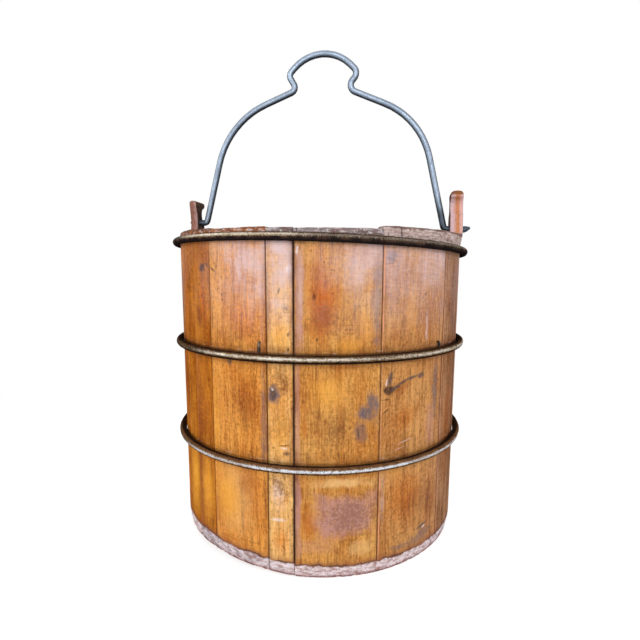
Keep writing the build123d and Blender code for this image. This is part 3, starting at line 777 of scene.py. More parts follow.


# Grime in the joints and round the hoops, with painted shade at the hoops, haze in the lacquer as painted
# sheen, a painted lit line and glints, the bare rim and the worn foot with painted light and shade
def makeWearAndLightGroup():
    amounts = [
        "Half Width", "Rim Glint", "Sheen Left", "Sheen Right", "Left Seam", "Right Seam", "Lit Line",
        "Foot Left", "Foot Right", "Foot Band", "Foot Pale", "Seed",
    ]
    tree, takes, gives = newGroup(
        "staveWearAndLight", "ShaderNodeTree",
        {"Vector": ["Board"], "Color": ["Color", "Rim"], "Float": amounts},
        {"Color": ["Color"], "Float": ["Bare", "Grime"]},
    )
    look = wearAndLightLook
    place = objectPlace(tree)
    parts = split(tree, takes["Board"])
    noise = makeNoises(tree, wearNoises, {"board": takes["Board"], "object": place}, takes["Seed"])
    grit = noise["grit"]
    patch = noise["patch"]
    broad = noise["broad"]
    ripple = noise["ripple"]
    leftward = times(tree, takes["Half Width"], -1.0)
    colour = takes["Color"]

    # milky haze near the top: painted sheen, a reflection of light in the lacquer
    sheenHaze = times(
        tree,
        spread(tree, parts[2], *look["sheenRise"]),
        spread(tree, broad, 0.28, 0.66, 0.25, 1.0),
        spread(tree, ripple, 0.34, 0.66, 0.78, 1.15),
        spread(tree, noise["veil"], 0.36, 0.64, 0.72, 1.15),
    )
    across = spread(tree, parts[0], leftward, takes["Half Width"], takes["Sheen Left"], takes["Sheen Right"])
    colour = blend(tree, calc(tree, "MULTIPLY", sheenHaze, across, clamp=True), colour, look["sheenHaze"])

    # dirt along the joints, and a lit line beside the left one
    edge = minus(tree, takes["Half Width"], calc(tree, "ABSOLUTE", parts[0]))
    strong = spread(tree, parts[0], -0.001, 0.001, takes["Left Seam"], takes["Right Seam"])
    soft = spread(tree, edge, 0.0, look["jointReach"], 1.0, 0.0)
    soft = times(tree, soft, spread(tree, broad, 0.35, 0.62, 0.0, 0.7), strong)
    colour = blend(tree, soft, colour, look["jointStain"])
    reach = times(tree, calc(tree, "MULTIPLY_ADD", grit, 0.0016, 0.0008), strong)
    seam = spread(tree, edge, 0.0002, plus(tree, reach, 0.0003), 1.0, 0.0)
    seam = times(tree, seam, spread(tree, strong, 0.0, 0.8, 0.25, 0.97, smooth=False))
    colour = blend(tree, seam, colour, look["jointDirt"])
    offLine = calc(tree, "ABSOLUTE", minus(tree, edge, look["litLine"]))
    lit = times(
        tree,
        spread(tree, offLine, 0.0002, 0.0008, 1.0, 0.0),
        spread(tree, broad, 0.40, 0.55, 0.3, 1.0),
        spread(tree, parts[0], 0.0, -0.001),
        takes["Lit Line"],
    )
    colour = blend(tree, lit, colour, look["lit"])

    # dirt above and below each hoop. The dark line tight against the rod is dirt and painted shade, and
    # the pale flecks just above it are painted glints.
    grime = seam
    spots = split(tree, place)
    for hoop in hoops.values():
        level = calc(tree, "MULTIPLY_ADD", spots[0], hoop["slope"][0], parts[2])
        level = calc(tree, "MULTIPLY_ADD", spots[1], hoop["slope"][1], level)
        above = minus(tree, level, hoop["height"])
        off = calc(tree, "ABSOLUTE", above)
        share = spread(tree, above, -0.001, 0.001, hoop["under"], hoop["over"])
        wide = spread(tree, off, hoopRod, look["hoopReach"], 1.0, 0.0)
        wide = times(tree, wide, spread(tree, patch, 0.3, 0.7, 0.25, 0.9), share)
        tight = spread(tree, off, hoopRod, calc(tree, "MULTIPLY_ADD", grit, 0.0028, 0.0040), 1.0, 0.0)
        tight = times(tree, tight, share)
        hoopGlints = times(
            tree,
            spread(tree, ripple, 0.54, 0.64),
            spread(tree, above, 0.0046, 0.0070, 0.5, 0.0),
            spread(tree, above, hoopRod, 0.0040),
        )
        colour = blend(tree, wide, colour, look["hoopStain"])
        colour = blend(tree, times(tree, tight, 0.92), colour, look["hoopDirtAndShade"])
        colour = blend(tree, hoopGlints, colour, look["hoopGlint"])
        grime = calc(tree, "MAXIMUM", grime, tight)

    # rim above the last hoop, which is the top one
    bare = spread(tree, above, 0.0030, 0.0052)
    rim = layTones(
        tree, takes["Rim"],
        (patch, 0.42, 0.62, 0.5, look["rimStain"]),
        (ripple, 0.50, 0.66, 0.6, look["rimLight"]),
        (ripple, 0.46, 0.34, 0.6, look["rimDark"]),
    )
    glint = times(tree, spread(tree, grit, 0.57, 0.63), takes["Rim Glint"])
    rim = blend(tree, glint, rim, look["rimGlint"])
    rim = layTones(tree, rim, (noise["cracks"], 0.61, 0.67, 0.75, look["rimCrack"]))
    colour = blend(tree, bare, colour, rim)
    lip = spread(tree, jitter(tree, patch, 0.006, parts[2]), *look["lipRise"])
    lip = times(tree, lip, spread(tree, parts[2], *look["lipEnd"], 0.7, 0.0))
    colour = blend(tree, lip, colour, look["lip"])

    # worn foot, with a dark line at its upper edge. Its pale band is wear together with painted light on
    # the bevel, with painted glints in it, and its lowest edge is painted shade.
    footEnds = (takes["Foot Left"], takes["Foot Right"])
    sole = spread(tree, parts[0], leftward, takes["Half Width"], *footEnds, smooth=False)
    rise = minus(tree, parts[2], sole)
    line = jitter(tree, grit, 0.003, jitter(tree, patch, 0.007, takes["Foot Band"]))
    foot = spread(tree, rise, line, minus(tree, line, 0.0012))
    colour = layTones(tree, colour, (rise, plus(tree, line, 0.006), line, 0.6, look["footStain"]))
    ashen = blend(tree, spread(tree, noise["slab"], 0.38, 0.62), *look["ashen"])
    rosy = blend(tree, spread(tree, noise["slab"], 0.36, 0.56), *look["rosy"])
    dark = blend(tree, spread(tree, grit, 0.5, 0.62), *look["sole"])
    worn = layTones(
        tree, blend(tree, takes["Foot Pale"], ashen, rosy),
        (patch, 0.52, 0.66, 0.6, look["footBrown"]),
        (ripple, 0.56, 0.66, 0.6, look["footLight"]),
        (noise["crumbs"], 0.54, 0.66, 0.7, look["footCrumb"]),
        (rise, calc(tree, "MULTIPLY_ADD", patch, 0.005, 0.0014), 0.0006, 0.92, dark),
    )
    colour = blend(tree, times(tree, foot, 0.96), colour, worn)
    offBrink = calc(tree, "ABSOLUTE", minus(tree, rise, line))
    brink = spread(tree, offBrink, 0.0004, 0.0014, 1.0, 0.0)
    brink = times(tree, brink, spread(tree, broad, 0.36, 0.56, 0.25, 0.85))
    colour = blend(tree, brink, colour, look["footEdge"])
    tree.links.new(colour, gives["Color"])
    tree.links.new(calc(tree, "MAXIMUM", bare, foot), gives["Bare"])
    tree.links.new(grime, gives["Grime"])
    return tree


grainGroup = makeGrainGroup()
markGroup = makeMarkGroup()
wearAndLightGroup = makeWearAndLightGroup()

# Depths are distances from the middle of the tub along X, and rimRise is where the ear leaves the rim
earLook = {"middleDepth": (0.1405, 0.1455), "outerDepth": (0.1465, 0.1495), "rimRise": (0.3050, 0.3080)}
earNoises = {
    "patch": {"scale": 130.0, "detail": 4.0},
    "fine": {"scale": 900.0, "up": 0.2},
}


# Handled wood above the rim: streaked along its front and back, with the faces that look along X
# painted in shade and the sides that look front and back painted lighter, and a brown crown
def paintEar(tree, colour, ear, seed):
    place = objectPlace(tree)
    spots = split(tree, place)
    normal = split(tree, addNode(tree, "ShaderNodeNewGeometry").outputs["Normal"])
    noise = makeNoises(tree, earNoises, {"object": place}, seed)
    patch = noise["patch"]
    fine = noise["fine"]
    depth = jitter(tree, patch, 0.005, calc(tree, "ABSOLUTE", spots[0]))
    flank = layTones(
        tree, ear["inner"],
        (depth, *earLook["middleDepth"], 1.0, ear["middle"]),
        (depth, *earLook["outerDepth"], 1.0, ear["outer"]),
    )
    cap = jitter(tree, patch, 0.006, spots[2])
    # painted light and shade by facing: pale flanks where the face looks front or back, the shaded face
    # elsewhere
    wood = layTones(
        tree, ear["face"],
        (patch, 0.38, 0.62, 1.0, ear["shade"]),
        (calc(tree, "ABSOLUTE", normal[1]), 0.12, 0.50, 1.0, flank),
        (fine, 0.50, 0.70, 0.35, ear["shade"]),
        (fine, 0.44, 0.30, 0.35, ear["inner"]),
        (cap, ear["capFrom"] - 0.001, ear["capFrom"] + 0.001, 0.9, ear["cap"]),
    )
    return layTones(tree, colour, (spots[2], *earLook["rimRise"], 1.0, wood))


lacquer = {"coat": 0.03, "coatRoughness": 0.12, "gloss": (0.24, 0.40), "bare": 0.34, "grime": 0.5}


def makeStaveWood(stave, nextSeam, seed):
    material, tree, shader = newMaterial(stave["node"] + "_lacquer")
    halfWidth = math.radians(stave["degrees"] / 2) * tub["rimRadius"]
    board = boardPlace(tree)
    grain = fillGroup(tree, grainGroup, {"Board": board, "Seed": seed, **tones[stave["tone"]]})
    colour = grain["Color"]
    height = grain["Height"]
    for kind, across, up, width, tall, turn, strength in stave["marks"]:
        look = markPaint[kind]
        mask = fillGroup(tree, markGroup, {
            "Board": board, "Across": across / 1000, "Up": up / 1000, "Half Width": width / 2000,
            "Half Height": tall / 2000, "Turn": math.radians(turn), "Ragged": look["ragged"],
            "Soft": look["soft"], "Square": look.get("square", 0.0),
            "Grit": look.get("grit", 1600 / math.sqrt(width * tall))})
        cover = times(tree, mask["Mask"], strength)
        if "rings" in look:
            cover = times(tree, cover, mask["Rings"])
        colour = blend(tree, cover, colour, look["colour"], "MULTIPLY" if "tint" in look else "MIX")
        if "sunk" in look:
            height = calc(tree, "MULTIPLY_ADD", mask["Mask"], -2.0 * look["sunk"] * strength, height)
    rim = rimTones[stave["rim"]]
    wear = fillGroup(tree, wearAndLightGroup, {
        "Board": board, "Color": colour, "Half Width": halfWidth, "Rim": rim["colour"],
        "Rim Glint": rim["glint"], "Sheen Left": stave["sheenHaze"][0], "Sheen Right": stave["sheenHaze"][1],
        "Left Seam": stave["seam"], "Right Seam": nextSeam, "Lit Line": stave["line"],
        "Foot Left": stave["foot"][0] / 1000, "Foot Right": stave["foot"][1] / 1000,
        "Foot Band": stave["footBand"] / 1000, "Foot Pale": stave["footPale"], "Seed": seed})
    colour = wear["Color"]
    if stave["node"] in earTones:
        colour = paintEar(tree, colour, earTones[stave["node"]], seed)
    gloss = spread(tree, grain["Cloud"], 0.3, 0.7, *lacquer["gloss"])
    gloss = calc(tree, "MULTIPLY_ADD", wear["Bare"], lacquer["bare"], gloss)
    gloss = calc(tree, "MULTIPLY_ADD", wear["Grime"], lacquer["grime"], gloss, clamp=True)
    dressShader(tree, shader, colour, gloss, height)
    shader.inputs["Specular IOR Level"].default_value = stave["shine"]
    shader.inputs["Coat Weight"].default_value = lacquer["coat"]
    shader.inputs["Coat Roughness"].default_value = lacquer["coatRoughness"]
    return material


rawLook = {
    "damp": paint(96, 72, 54), "low": paint(72, 50, 36), "lowRise": (0.060, 0.034), "lowStrength": 0.45,
}


def makeRawWood(name, tone, seed, gloss):
    material, tree, shader = newMaterial(name)
    board = boardPlace(tree)
    place = objectPlace(tree)
    grain = fillGroup(tree, grainGroup, {"Board": board, "Seed": seed, **tone})
    damp = speckle(tree, place, 22.0, 4.0, 0.6, seed)
    colour = layTones(
        tree, grain["Color"],
        (damp, 0.42, 0.68, 0.5, rawLook["damp"]),
        (split(tree, place)[2], *rawLook["lowRise"], rawLook["lowStrength"], rawLook["low"]),
    )
    gloss = spread(tree, grain["Cloud"], 0.3, 0.7, gloss - 0.08, gloss + 0.08)
    dressShader(tree, shader, colour, gloss, grain["Height"])
    return material


insideWood = makeRawWood("inside_wood", tones["raw"], 41.0, 0.62)
baseWood = makeRawWood("base_wood", tones["brown"], 57.0, 0.55)
print("wood finishes made")

# The plain staves: a grid of points bent to the tapered wall
staveBuild = {
    "pitch": 0.0023,
    "wallRows": 5,
    "relief": 0.00028,
    "footChip": 0.0009,
    "chipRise": 0.012,
    "chipLift": 0.0008,
    "rimWave": 0.0009,
    "rimEase": 0.0018,
    "easeSteps": 3,
    "edgeEase": 0.0006,
    "innerEase": 0.0008,
    "jointGap": 0.00010,
    "lacquerInside": 0.004,
    "turnedIn": -0.3,
}


def makeStaveTree():
    amounts = [
        "Start", "Width", "Foot Left", "Foot Right", "Top", "Set Back", "Left Ease", "Right Ease", "Seed",
    ]
    tree, takes, gives = newGroup(
        "bentStave", "GeometryNodeTree", {"Float": amounts, "Material": ["Material"]},
        {"Geometry": ["Geometry"]},
    )
    pitch = staveBuild["pitch"]
    acrossRows = calc(tree, "DIVIDE", times(tree, takes["Width"], tub["rimRadius"]), pitch)
    upRows = calc(tree, "DIVIDE", takes["Top"], pitch)
    cube = addNode(tree, "GeometryNodeMeshCube", {
        "Vertices X": plus(tree, acrossRows, 2.0), "Vertices Y": staveBuild["wallRows"],
        "Vertices Z": plus(tree, upRows, 2.0)})
    grid = split(tree, addNode(tree, "GeometryNodeInputPosition").outputs[0])
    u, v, w = (plus(tree, grid[axis], 0.5) for axis in range(3))

    # how much each of the block's long edges is rounded, for the Bevel modifier
    sharp = calc(tree, "GREATER_THAN", addNode(tree, "GeometryNodeInputMeshEdgeAngle").outputs[0], 1.0)
    atRim = calc(tree, "GREATER_THAN", w, 0.9999)
    atLeft = times(tree, calc(tree, "LESS_THAN", u, 0.0001), takes["Left Ease"])
    atRight = times(tree, calc(tree, "GREATER_THAN", u, 0.9999), takes["Right Ease"])
    ease = calc(tree, "MAXIMUM", calc(tree, "MAXIMUM", atLeft, atRight), staveBuild["innerEase"])
    ease = calc(tree, "MAXIMUM", ease, times(tree, atRim, staveBuild["rimEase"]))
    weight = times(tree, sharp, calc(tree, "DIVIDE", ease, staveBuild["rimEase"], clamp=True))
    weighed = addNode(tree, "GeometryNodeStoreNamedAttribute", {
        "Geometry": cube.outputs["Mesh"], "Name": "bevel_weight_edge", "Value": weight}, domain="EDGE")

    # place along the wall: round the tub and up, with a wavy rim
    gap = staveBuild["jointGap"] / tub["rimRadius"]
    angle = plus(tree, takes["Start"], gap)
    angle = calc(tree, "MULTIPLY_ADD", u, minus(tree, takes["Width"], 2 * gap), angle)
    arc = times(tree, angle, tub["rimRadius"])
    sole = spread(tree, u, 0.0, 1.0, takes["Foot Left"], takes["Foot Right"], smooth=False)
    rise = calc(tree, "MULTIPLY_ADD", w, minus(tree, takes["Top"], sole), sole)
    wave = minus(tree, speckle(tree, combine(tree, arc), 70.0, 2.0, 0.5, takes["Seed"]), 0.5)
    wave = times(tree, wave, 2 * staveBuild["rimWave"])
    rise = calc(tree, "MULTIPLY_ADD", wave, spread(tree, w, 0.96, 1.0), rise)
    onFoot = minus(tree, rise, sole)
    footNoise = speckle(tree, combine(tree, arc, rise), 130.0, 3.0, 0.6, takes["Seed"])
    chip = spread(tree, onFoot, staveBuild["chipRise"], 0.0)
    chip = times(tree, spread(tree, footNoise, 0.50, 0.72), chip, v)

    # distance from the middle, between the grooved inner face and the outer face
    outer = spread(tree, rise, 0.0, tub["height"], outerRadius(0.0), tub["rimRadius"], smooth=False)
    bevel = spread(tree, onFoot, 0.0, tub["bevelHeight"], tub["bevelDepth"], 0.0, smooth=False)
    bottom, top, slope = tub["grooveBottom"], tub["grooveTop"], tub["grooveSlope"]
    climb = spread(tree, rise, bottom - slope, bottom, 0.0, 1.0, smooth=False)
    drop = spread(tree, rise, top, top + slope, 1.0, 0.0, smooth=False)
    groove = times(tree, calc(tree, "MINIMUM", climb, drop), tub["grooveDepth"])
    inner = plus(tree, minus(tree, outer, tub["wall"]), groove)
    bumps = speckle(tree, combine(tree, arc, 0.0, times(tree, rise, 0.35)), 42.0, 2.0, 0.5, takes["Seed"])
    face = minus(tree, minus(tree, outer, bevel), takes["Set Back"])
    face = calc(tree, "MULTIPLY_ADD", bumps, -staveBuild["relief"], face)
    face = calc(tree, "MULTIPLY_ADD", chip, -staveBuild["footChip"], face)
    radius = calc(tree, "MULTIPLY_ADD", v, minus(tree, face, inner), inner)
    lowest = times(tree, chip, spread(tree, w, 0.01, 0.0))
    rise = calc(tree, "MULTIPLY_ADD", lowest, staveBuild["chipLift"], rise)
    place = combine(
        tree,
        times(tree, calc(tree, "SINE", angle), radius),
        times(tree, calc(tree, "COSINE", angle), times(tree, radius, -1.0)),
        rise,
    )
    bent = addNode(tree, "GeometryNodeSetPosition", {"Geometry": weighed.outputs[0], "Position": place})
    turned = addNode(tree, "GeometryNodeFlipFaces", {"Mesh": bent.outputs[0]})
    dressMesh(tree, turned.outputs[0], takes, gives)
    return tree


# Faces that look into the bucket take the raw wood, but for a strip along the rim
def splitInside(piece, material):
    mesh = piece.data
    mesh.materials.append(material)
    normals = np.empty(len(mesh.polygons) * 3)
    centres = np.empty(len(mesh.polygons) * 3)
    mesh.polygons.foreach_get("normal", normals)
    mesh.polygons.foreach_get("center", centres)
    normals = normals.reshape(-1, 3)
    centres = centres.reshape(-1, 3)
    outward = np.einsum("ij,ij->i", normals[:, :2], centres[:, :2])
    outward = outward / np.hypot(centres[:, 0], centres[:, 1])
    low = centres[:, 2] < tub["height"] - staveBuild["lacquerInside"]
    inside = (outward < staveBuild["turnedIn"]) & low
    mesh.polygons.foreach_set("material_index", inside.astype(np.int32))


def fitStave(piece, stave):
    splitInside(piece, insideWood)
    markBoard(piece.data, stave["centre"])
    fitPiece(piece, "bucket", stave["node"])


def makeStaves():
    tree = makeStaveTree()
    bearing = tub["firstBearing"]
    for number, stave in enumerate(staves):
        start, bearing = bearing, bearing + stave["degrees"]
        stave["centre"] = (start + bearing) / 2
        nextSeam = staves[(number + 1) % len(staves)]["seam"]
        stave["wood"] = makeStaveWood(stave, nextSeam, 3.1 * number + 1.0)
        if "back" not in stave:
            continue
        piece = newPiece(stave["node"] + "_wood")
        addTree(piece, tree, {
            "Start": math.radians(start), "Width": math.radians(stave["degrees"]),
            "Foot Left": stave["foot"][0] / 1000, "Foot Right": stave["foot"][1] / 1000,
            "Top": tub["height"] + stave["lift"] / 1000, "Set Back": stave["back"] / 1000,
            "Left Ease": stave.get("leftEase", staveBuild["edgeEase"] * stave["seam"]),
            "Right Ease": stave.get("rightEase", staveBuild["edgeEase"] * nextSeam),
            "Seed": 5.3 * number, "Material": stave["wood"]})
        ease = piece.modifiers.new("easedEdges", "BEVEL")
        ease.limit_method = "WEIGHT"
        ease.width = staveBuild["rimEase"]
        ease.segments = staveBuild["easeSteps"]
        fitStave(freeze(piece), stave)
    print("plain staves bent")


# Pieces with a shape of their own: a soft-edged copy of the CAD solid, lightly worn
earBuild = {"voxel": 0.0011, "rounds": 16, "wear": 0.0005, "grain": 60.0}
boardBuild = {"voxel": 0.0014, "rounds": 4, "wear": 0.0004, "grain": 40.0}


def makeWearTree():
    tree, takes, gives = newGroup(
        "handWorn", "GeometryNodeTree",
        {"Geometry": ["Geometry"], "Float": ["Wear", "Grain", "Seed"], "Material": ["Material"]},
        {"Geometry": ["Geometry"]},
    )
    place = addNode(tree, "GeometryNodeInputPosition").outputs[0]
    normal = addNode(tree, "GeometryNodeInputNormal").outputs[0]
    dent = speckle(tree, place, takes["Grain"], 3.0, 0.5, takes["Seed"])
    worn = pushMesh(tree, takes["Geometry"], normal, times(tree, dent, -1.0, takes["Wear"]))
    dressMesh(tree, worn, takes, gives)
    return tree


wearTree = makeWearTree()


def softCopy(node, build, material, seed):
    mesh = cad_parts[node].data.copy()
    mesh.materials.clear()
    work = bmesh.new()
    work.from_mesh(mesh)
    bmesh.ops.remove_doubles(work, verts=work.verts, dist=0.00001)
    work.to_mesh(mesh)
    work.free()
    piece = newPiece(node + "_wood", mesh)
    remesh = piece.modifiers.new("remesh", "REMESH")
    remesh.mode = "VOXEL"
    remesh.voxel_size = build["voxel"]
    soften = piece.modifiers.new("soften", "SMOOTH")
    soften.iterations = build["rounds"]
    soften.factor = 0.5
    addTree(piece, wearTree, {
        "Wear": build["wear"], "Grain": build["grain"], "Seed": seed, "Material": material})
    return freeze(piece)


def makeEarStaves():
    for stave in staves:
        if "back" not in stave:
            fitStave(softCopy(stave["node"], earBuild, stave["wood"], stave["centre"]), stave)
    print("ear staves carved")


# The grain of the boards runs along Y
def makeBaseBoards():
    for number in range(1, 5):
        node = f"base_board_{number}"
        piece = softCopy(node, boardBuild, baseWood, 11.0 * number)
        keepVector(piece.data, "board", pointsOf(piece.data)[:, [0, 2, 1]])
        fitPiece(piece, "bucket", node)
    print("base boards laid")


makeStaves()
makeEarStaves()
makeBaseBoards()

# Iron. A hoop's painted highlight starts at its left with dim and thins out at its right with fade. Both
# are given as X from and to, with the share at the first end, and fade with the share at the last end as
# well. Lean tilts a hoop's painted highlight up from its outer side. The bail is darker beside the ears:
# painted shade at the left pin, and darker low on its right leg.
ironLooks = {
    "hoop_bottom": {
        "dark": paint(34, 24, 20), "mid": paint(122, 84, 54), "gold": paint(146, 114, 82),
        "rubAndHighlight": paint(232, 242, 255), "rust": paint(96, 58, 36), "rustAmount": 0.6, "metal": 0.5,
        "specular": 0.0, "bumps": 0.6, "lean": 0.0, "dim": (-0.125, -0.075, 0.1),
        "fade": (0.100, 0.142, 1.0, 0.7),
    },
    "hoop_middle": {
        "dark": paint(30, 22, 18), "mid": paint(84, 60, 42), "gold": paint(140, 108, 66),
        "rubAndHighlight": paint(236, 232, 220), "rust": paint(84, 52, 32), "rustAmount": 0.6, "metal": 0.5,
        "specular": 0.0, "bumps": 0.6, "lean": 0.20, "dim": (-0.105, -0.055, 0.0),
        "fade": (-0.03, 0.02, 1.0, 0.7),
    },
    "hoop_top": {
        "dark": paint(30, 24, 24), "mid": paint(74, 56, 48), "gold": paint(150, 122, 84),
        "rubAndHighlight": paint(244, 234, 218), "rust": paint(78, 50, 36), "rustAmount": 0.6, "metal": 0.5,
        "specular": 0.0, "bumps": 0.6, "lean": 0.60, "dim": (-0.122, -0.088, 0.0),
        "fade": (-0.025, 0.035, 1.0, 0.15),
    },
    "nails": {
        "dark": paint(30, 22, 18), "mid": paint(66, 48, 38), "gold": paint(120, 104, 84),
        "rubAndHighlight": paint(190, 188, 188), "rust": paint(84, 48, 30), "rustAmount": 0.6, "metal": 0.4,
        "specular": 0.3, "bumps": 0.6,
    },
    "bail": {
        "dark": paint(30, 34, 40), "mid": paint(66, 76, 88), "gold": paint(100, 112, 128),
        "rubAndHighlight": paint(154, 168, 186), "rust": paint(62, 52, 50), "rustAmount": 0.12, "metal": 0.55,
        "specular": 0.3, "bumps": 0.2, "earDarkRise": (0.350, 0.322), "earDarkRight": (0.100, 0.110),
        "earDarkLeft": (-0.1325, -0.1355),
    },
}
sparkTone = paint(250, 248, 244)
ironNoises = {
    "fine": {"scale": 900.0, "detail": 4.0, "rough": 0.65},
    "patch": {"scale": 150.0, "seed": 2.0},
    "wide": {"scale": 30.0, "seed": 4.0},
}


# Forged rod. A hoop has a painted highlight and painted sheen along its outer side and painted shade
# below and on top, and the bail has a painted highlight along its front and back and painted shade at
# its edges. The nails are rubbed bright in patches.
def makeIron(name):
    look = ironLooks[name]
    material, tree, shader = newMaterial(name + "_iron")
    place = objectPlace(tree)
    spots = split(tree, place)
    noise = makeNoises(tree, ironNoises, {"object": place})
    fine = noise["fine"]
    patch = noise["patch"]
    wide = noise["wide"]
    normal = addNode(tree, "ShaderNodeNewGeometry").outputs["Normal"]
    facing = split(tree, normal)
    colour = layTones(tree, look["dark"], (patch, 0.38, 0.62, 1.0, look["mid"]))
    if name in hoops:
        # painted highlight along the crest that looks out and up, with painted sheen round it, fainter to
        # the ends
        outward = vectorCalc(tree, "NORMALIZE", combine(tree, spots[0], spots[1]))[0]
        lean = vectorCalc(tree, "ADD", outward, (0, 0, look["lean"]))[0]
        lean = vectorCalc(tree, "NORMALIZE", lean)[0]
        crest = vectorCalc(tree, "DOT_PRODUCT", normal, lean)["Value"]
        crest = jitter(tree, patch, 0.14, crest)
        bright = spread(tree, spots[0], *look["dim"], 1.0)
        bright = times(tree, bright, spread(tree, spots[0], *look["fade"]))
        dull = times(tree, spread(tree, crest, 0.78, 0.95), spread(tree, bright, 0.0, 1.0, 0.12, 0.85))
        rubAndHighlight = times(tree, spread(tree, crest, 0.93, 1.0), spread(tree, wide, 0.38, 0.54, 0.5, 1.0))
        rubAndHighlight = times(tree, rubAndHighlight, bright)
        # painted shade by facing: a mid tone on the upper side, dark on the top and underneath
        colour = layTones(
            tree, colour,
            (facing[2], 0.30, 0.60, 0.7, look["mid"]),
            (facing[2], 0.80, 0.97, 0.8, look["dark"]),
            (facing[2], -0.20, -0.55, 0.9, look["dark"]),
        )
    elif name == "bail":
        # painted highlight on the faces that look front and back, painted shade at the edges
        side = calc(tree, "ABSOLUTE", facing[1])
        earDark = spread(tree, spots[2], *look["earDarkRise"])
        earDark = times(tree, earDark, spread(tree, spots[0], *look["earDarkRight"]))
        earDark = calc(tree, "MAXIMUM", earDark, spread(tree, spots[0], *look["earDarkLeft"]))
        clean = spread(tree, earDark, 0.0, 1.0, 1.0, 0.1)
        dull = times(tree, spread(tree, side, 0.45, 0.75, 0.0, 0.8), clean)
        rubAndHighlight = times(tree, spread(tree, side, 0.66, 0.99), spread(tree, wide, 0.32, 0.64, 0.5, 1.0))
        rubAndHighlight = times(tree, rubAndHighlight, clean)
        colour = layTones(tree, colour, (side, 0.70, 0.25, 0.9, look["dark"]))
    else:
        dull = spread(tree, patch, 0.50, 0.60, 0.0, 0.8)
        rubAndHighlight = spread(tree, patch, 0.58, 0.70, 0.0, 0.8)
    rubAndHighlight = times(tree, rubAndHighlight, spread(tree, fine, 0.36, 0.56, 1.0 - look["bumps"], 1.0))
    colour = blend(tree, dull, colour, look["gold"])
    colour = blend(tree, rubAndHighlight, colour, look["rubAndHighlight"])
    if name in hoops:
        # painted glints on the crest, and painted shade on the side turned away from it
        sparks = times(tree, spread(tree, fine, 0.44, 0.36), spread(tree, crest, 0.80, 0.95))
        sparks = times(tree, sparks, spread(tree, bright, 0.0, 1.0, 0.25, 0.85))
        colour = blend(tree, sparks, colour, sparkTone)
        colour = layTones(
            tree, colour,
            (fine, 0.51, 0.60, 0.9, look["dark"]),
            (crest, 0.50, 0.20, 0.7, look["dark"]),
        )
    rust = times(tree, spread(tree, fine, 0.52, 0.66), spread(tree, patch, 0.42, 0.62), look["rustAmount"])
    colour = blend(tree, rust, colour, look["rust"])
    gloss = spread(tree, patch, 0.3, 0.7, 0.34, 0.56)
    dressShader(tree, shader, colour, gloss, calc(tree, "MULTIPLY_ADD", fine, 0.5, patch), look["bumps"])
    if name in hoops:
        tree.links.new(times(tree, rubAndHighlight, look["metal"]), shader.inputs["Metallic"])
    else:
        shader.inputs["Metallic"].default_value = look["metal"]
    shader.inputs["Specular IOR Level"].default_value = look["specular"]
    return material


rodBuild = {"sides": 28, "filletSteps": 10, "wanderScale": 18.0, "dentScale": 190.0}


# A rod along a path of straight runs with bends: the path's points carry their bend radius
def makeRodTree():
    amounts = ["Rod Radius", "Step", "Tip Length", "Tip Share", "Dents", "Wander", "Seed"]
    tree, takes, gives = newGroup(
        "forgedRod", "GeometryNodeTree",
        {"Geometry": ["Geometry"], "Float": amounts, "Material": ["Material"]},
        {"Geometry": ["Geometry"]},
    )
    curve = addNode(tree, "GeometryNodeMeshToCurve", {"Mesh": takes["Geometry"]}).outputs[0]
    bend = addNode(tree, "GeometryNodeInputNamedAttribute", {"Name": "bend"}, data_type="FLOAT")
    curve = addNode(tree, "GeometryNodeFilletCurve", {
        "Curve": curve, "Count": rodBuild["filletSteps"], "Radius": bend.outputs["Attribute"],
        "Limit Radius": True,
    }, mode="POLY").outputs[0]
    sockets = {"Curve": curve, "Length": takes["Step"]}
    curve = addNode(tree, "GeometryNodeResampleCurve", sockets, mode="LENGTH").outputs[0]
    place = addNode(tree, "GeometryNodeInputPosition").outputs[0]
    noise = addNode(tree, "ShaderNodeTexNoise", {
        "Vector": place, "W": takes["Seed"], "Scale": rodBuild["wanderScale"], "Detail": 2.0,
    }, noise_dimensions="4D").outputs["Color"]
    drift = vectorCalc(tree, "SUBTRACT", noise, (0.5, 0.5, 0.5))[0]
    curve = pushMesh(tree, curve, drift, takes["Wander"])
    spot = addNode(tree, "GeometryNodeSplineParameter").outputs["Length"]
    whole = addNode(tree, "GeometryNodeSplineLength").outputs["Length"]
    toEnd = calc(tree, "MINIMUM", spot, minus(tree, whole, spot))
    slim = spread(tree, toEnd, 0.0, takes["Tip Length"], takes["Tip Share"], 1.0, smooth=False)
    sockets = {"Resolution": rodBuild["sides"], "Radius": 1.0}
    ring = addNode(tree, "GeometryNodeCurvePrimitiveCircle", sockets, mode="RADIUS").outputs[0]
    rod = addNode(tree, "GeometryNodeCurveToMesh", {
        "Curve": curve, "Profile Curve": ring, "Scale": times(tree, slim, takes["Rod Radius"]),
        "Fill Caps": True}).outputs[0]
    normal = addNode(tree, "GeometryNodeInputNormal").outputs[0]
    dent = minus(tree, speckle(tree, place, rodBuild["dentScale"], 2.0, 0.5, takes["Seed"]), 0.5)
    rod = pushMesh(tree, rod, normal, times(tree, dent, takes["Dents"]))
    dressMesh(tree, rod, takes, gives)
    return tree


rodTree = makeRodTree()


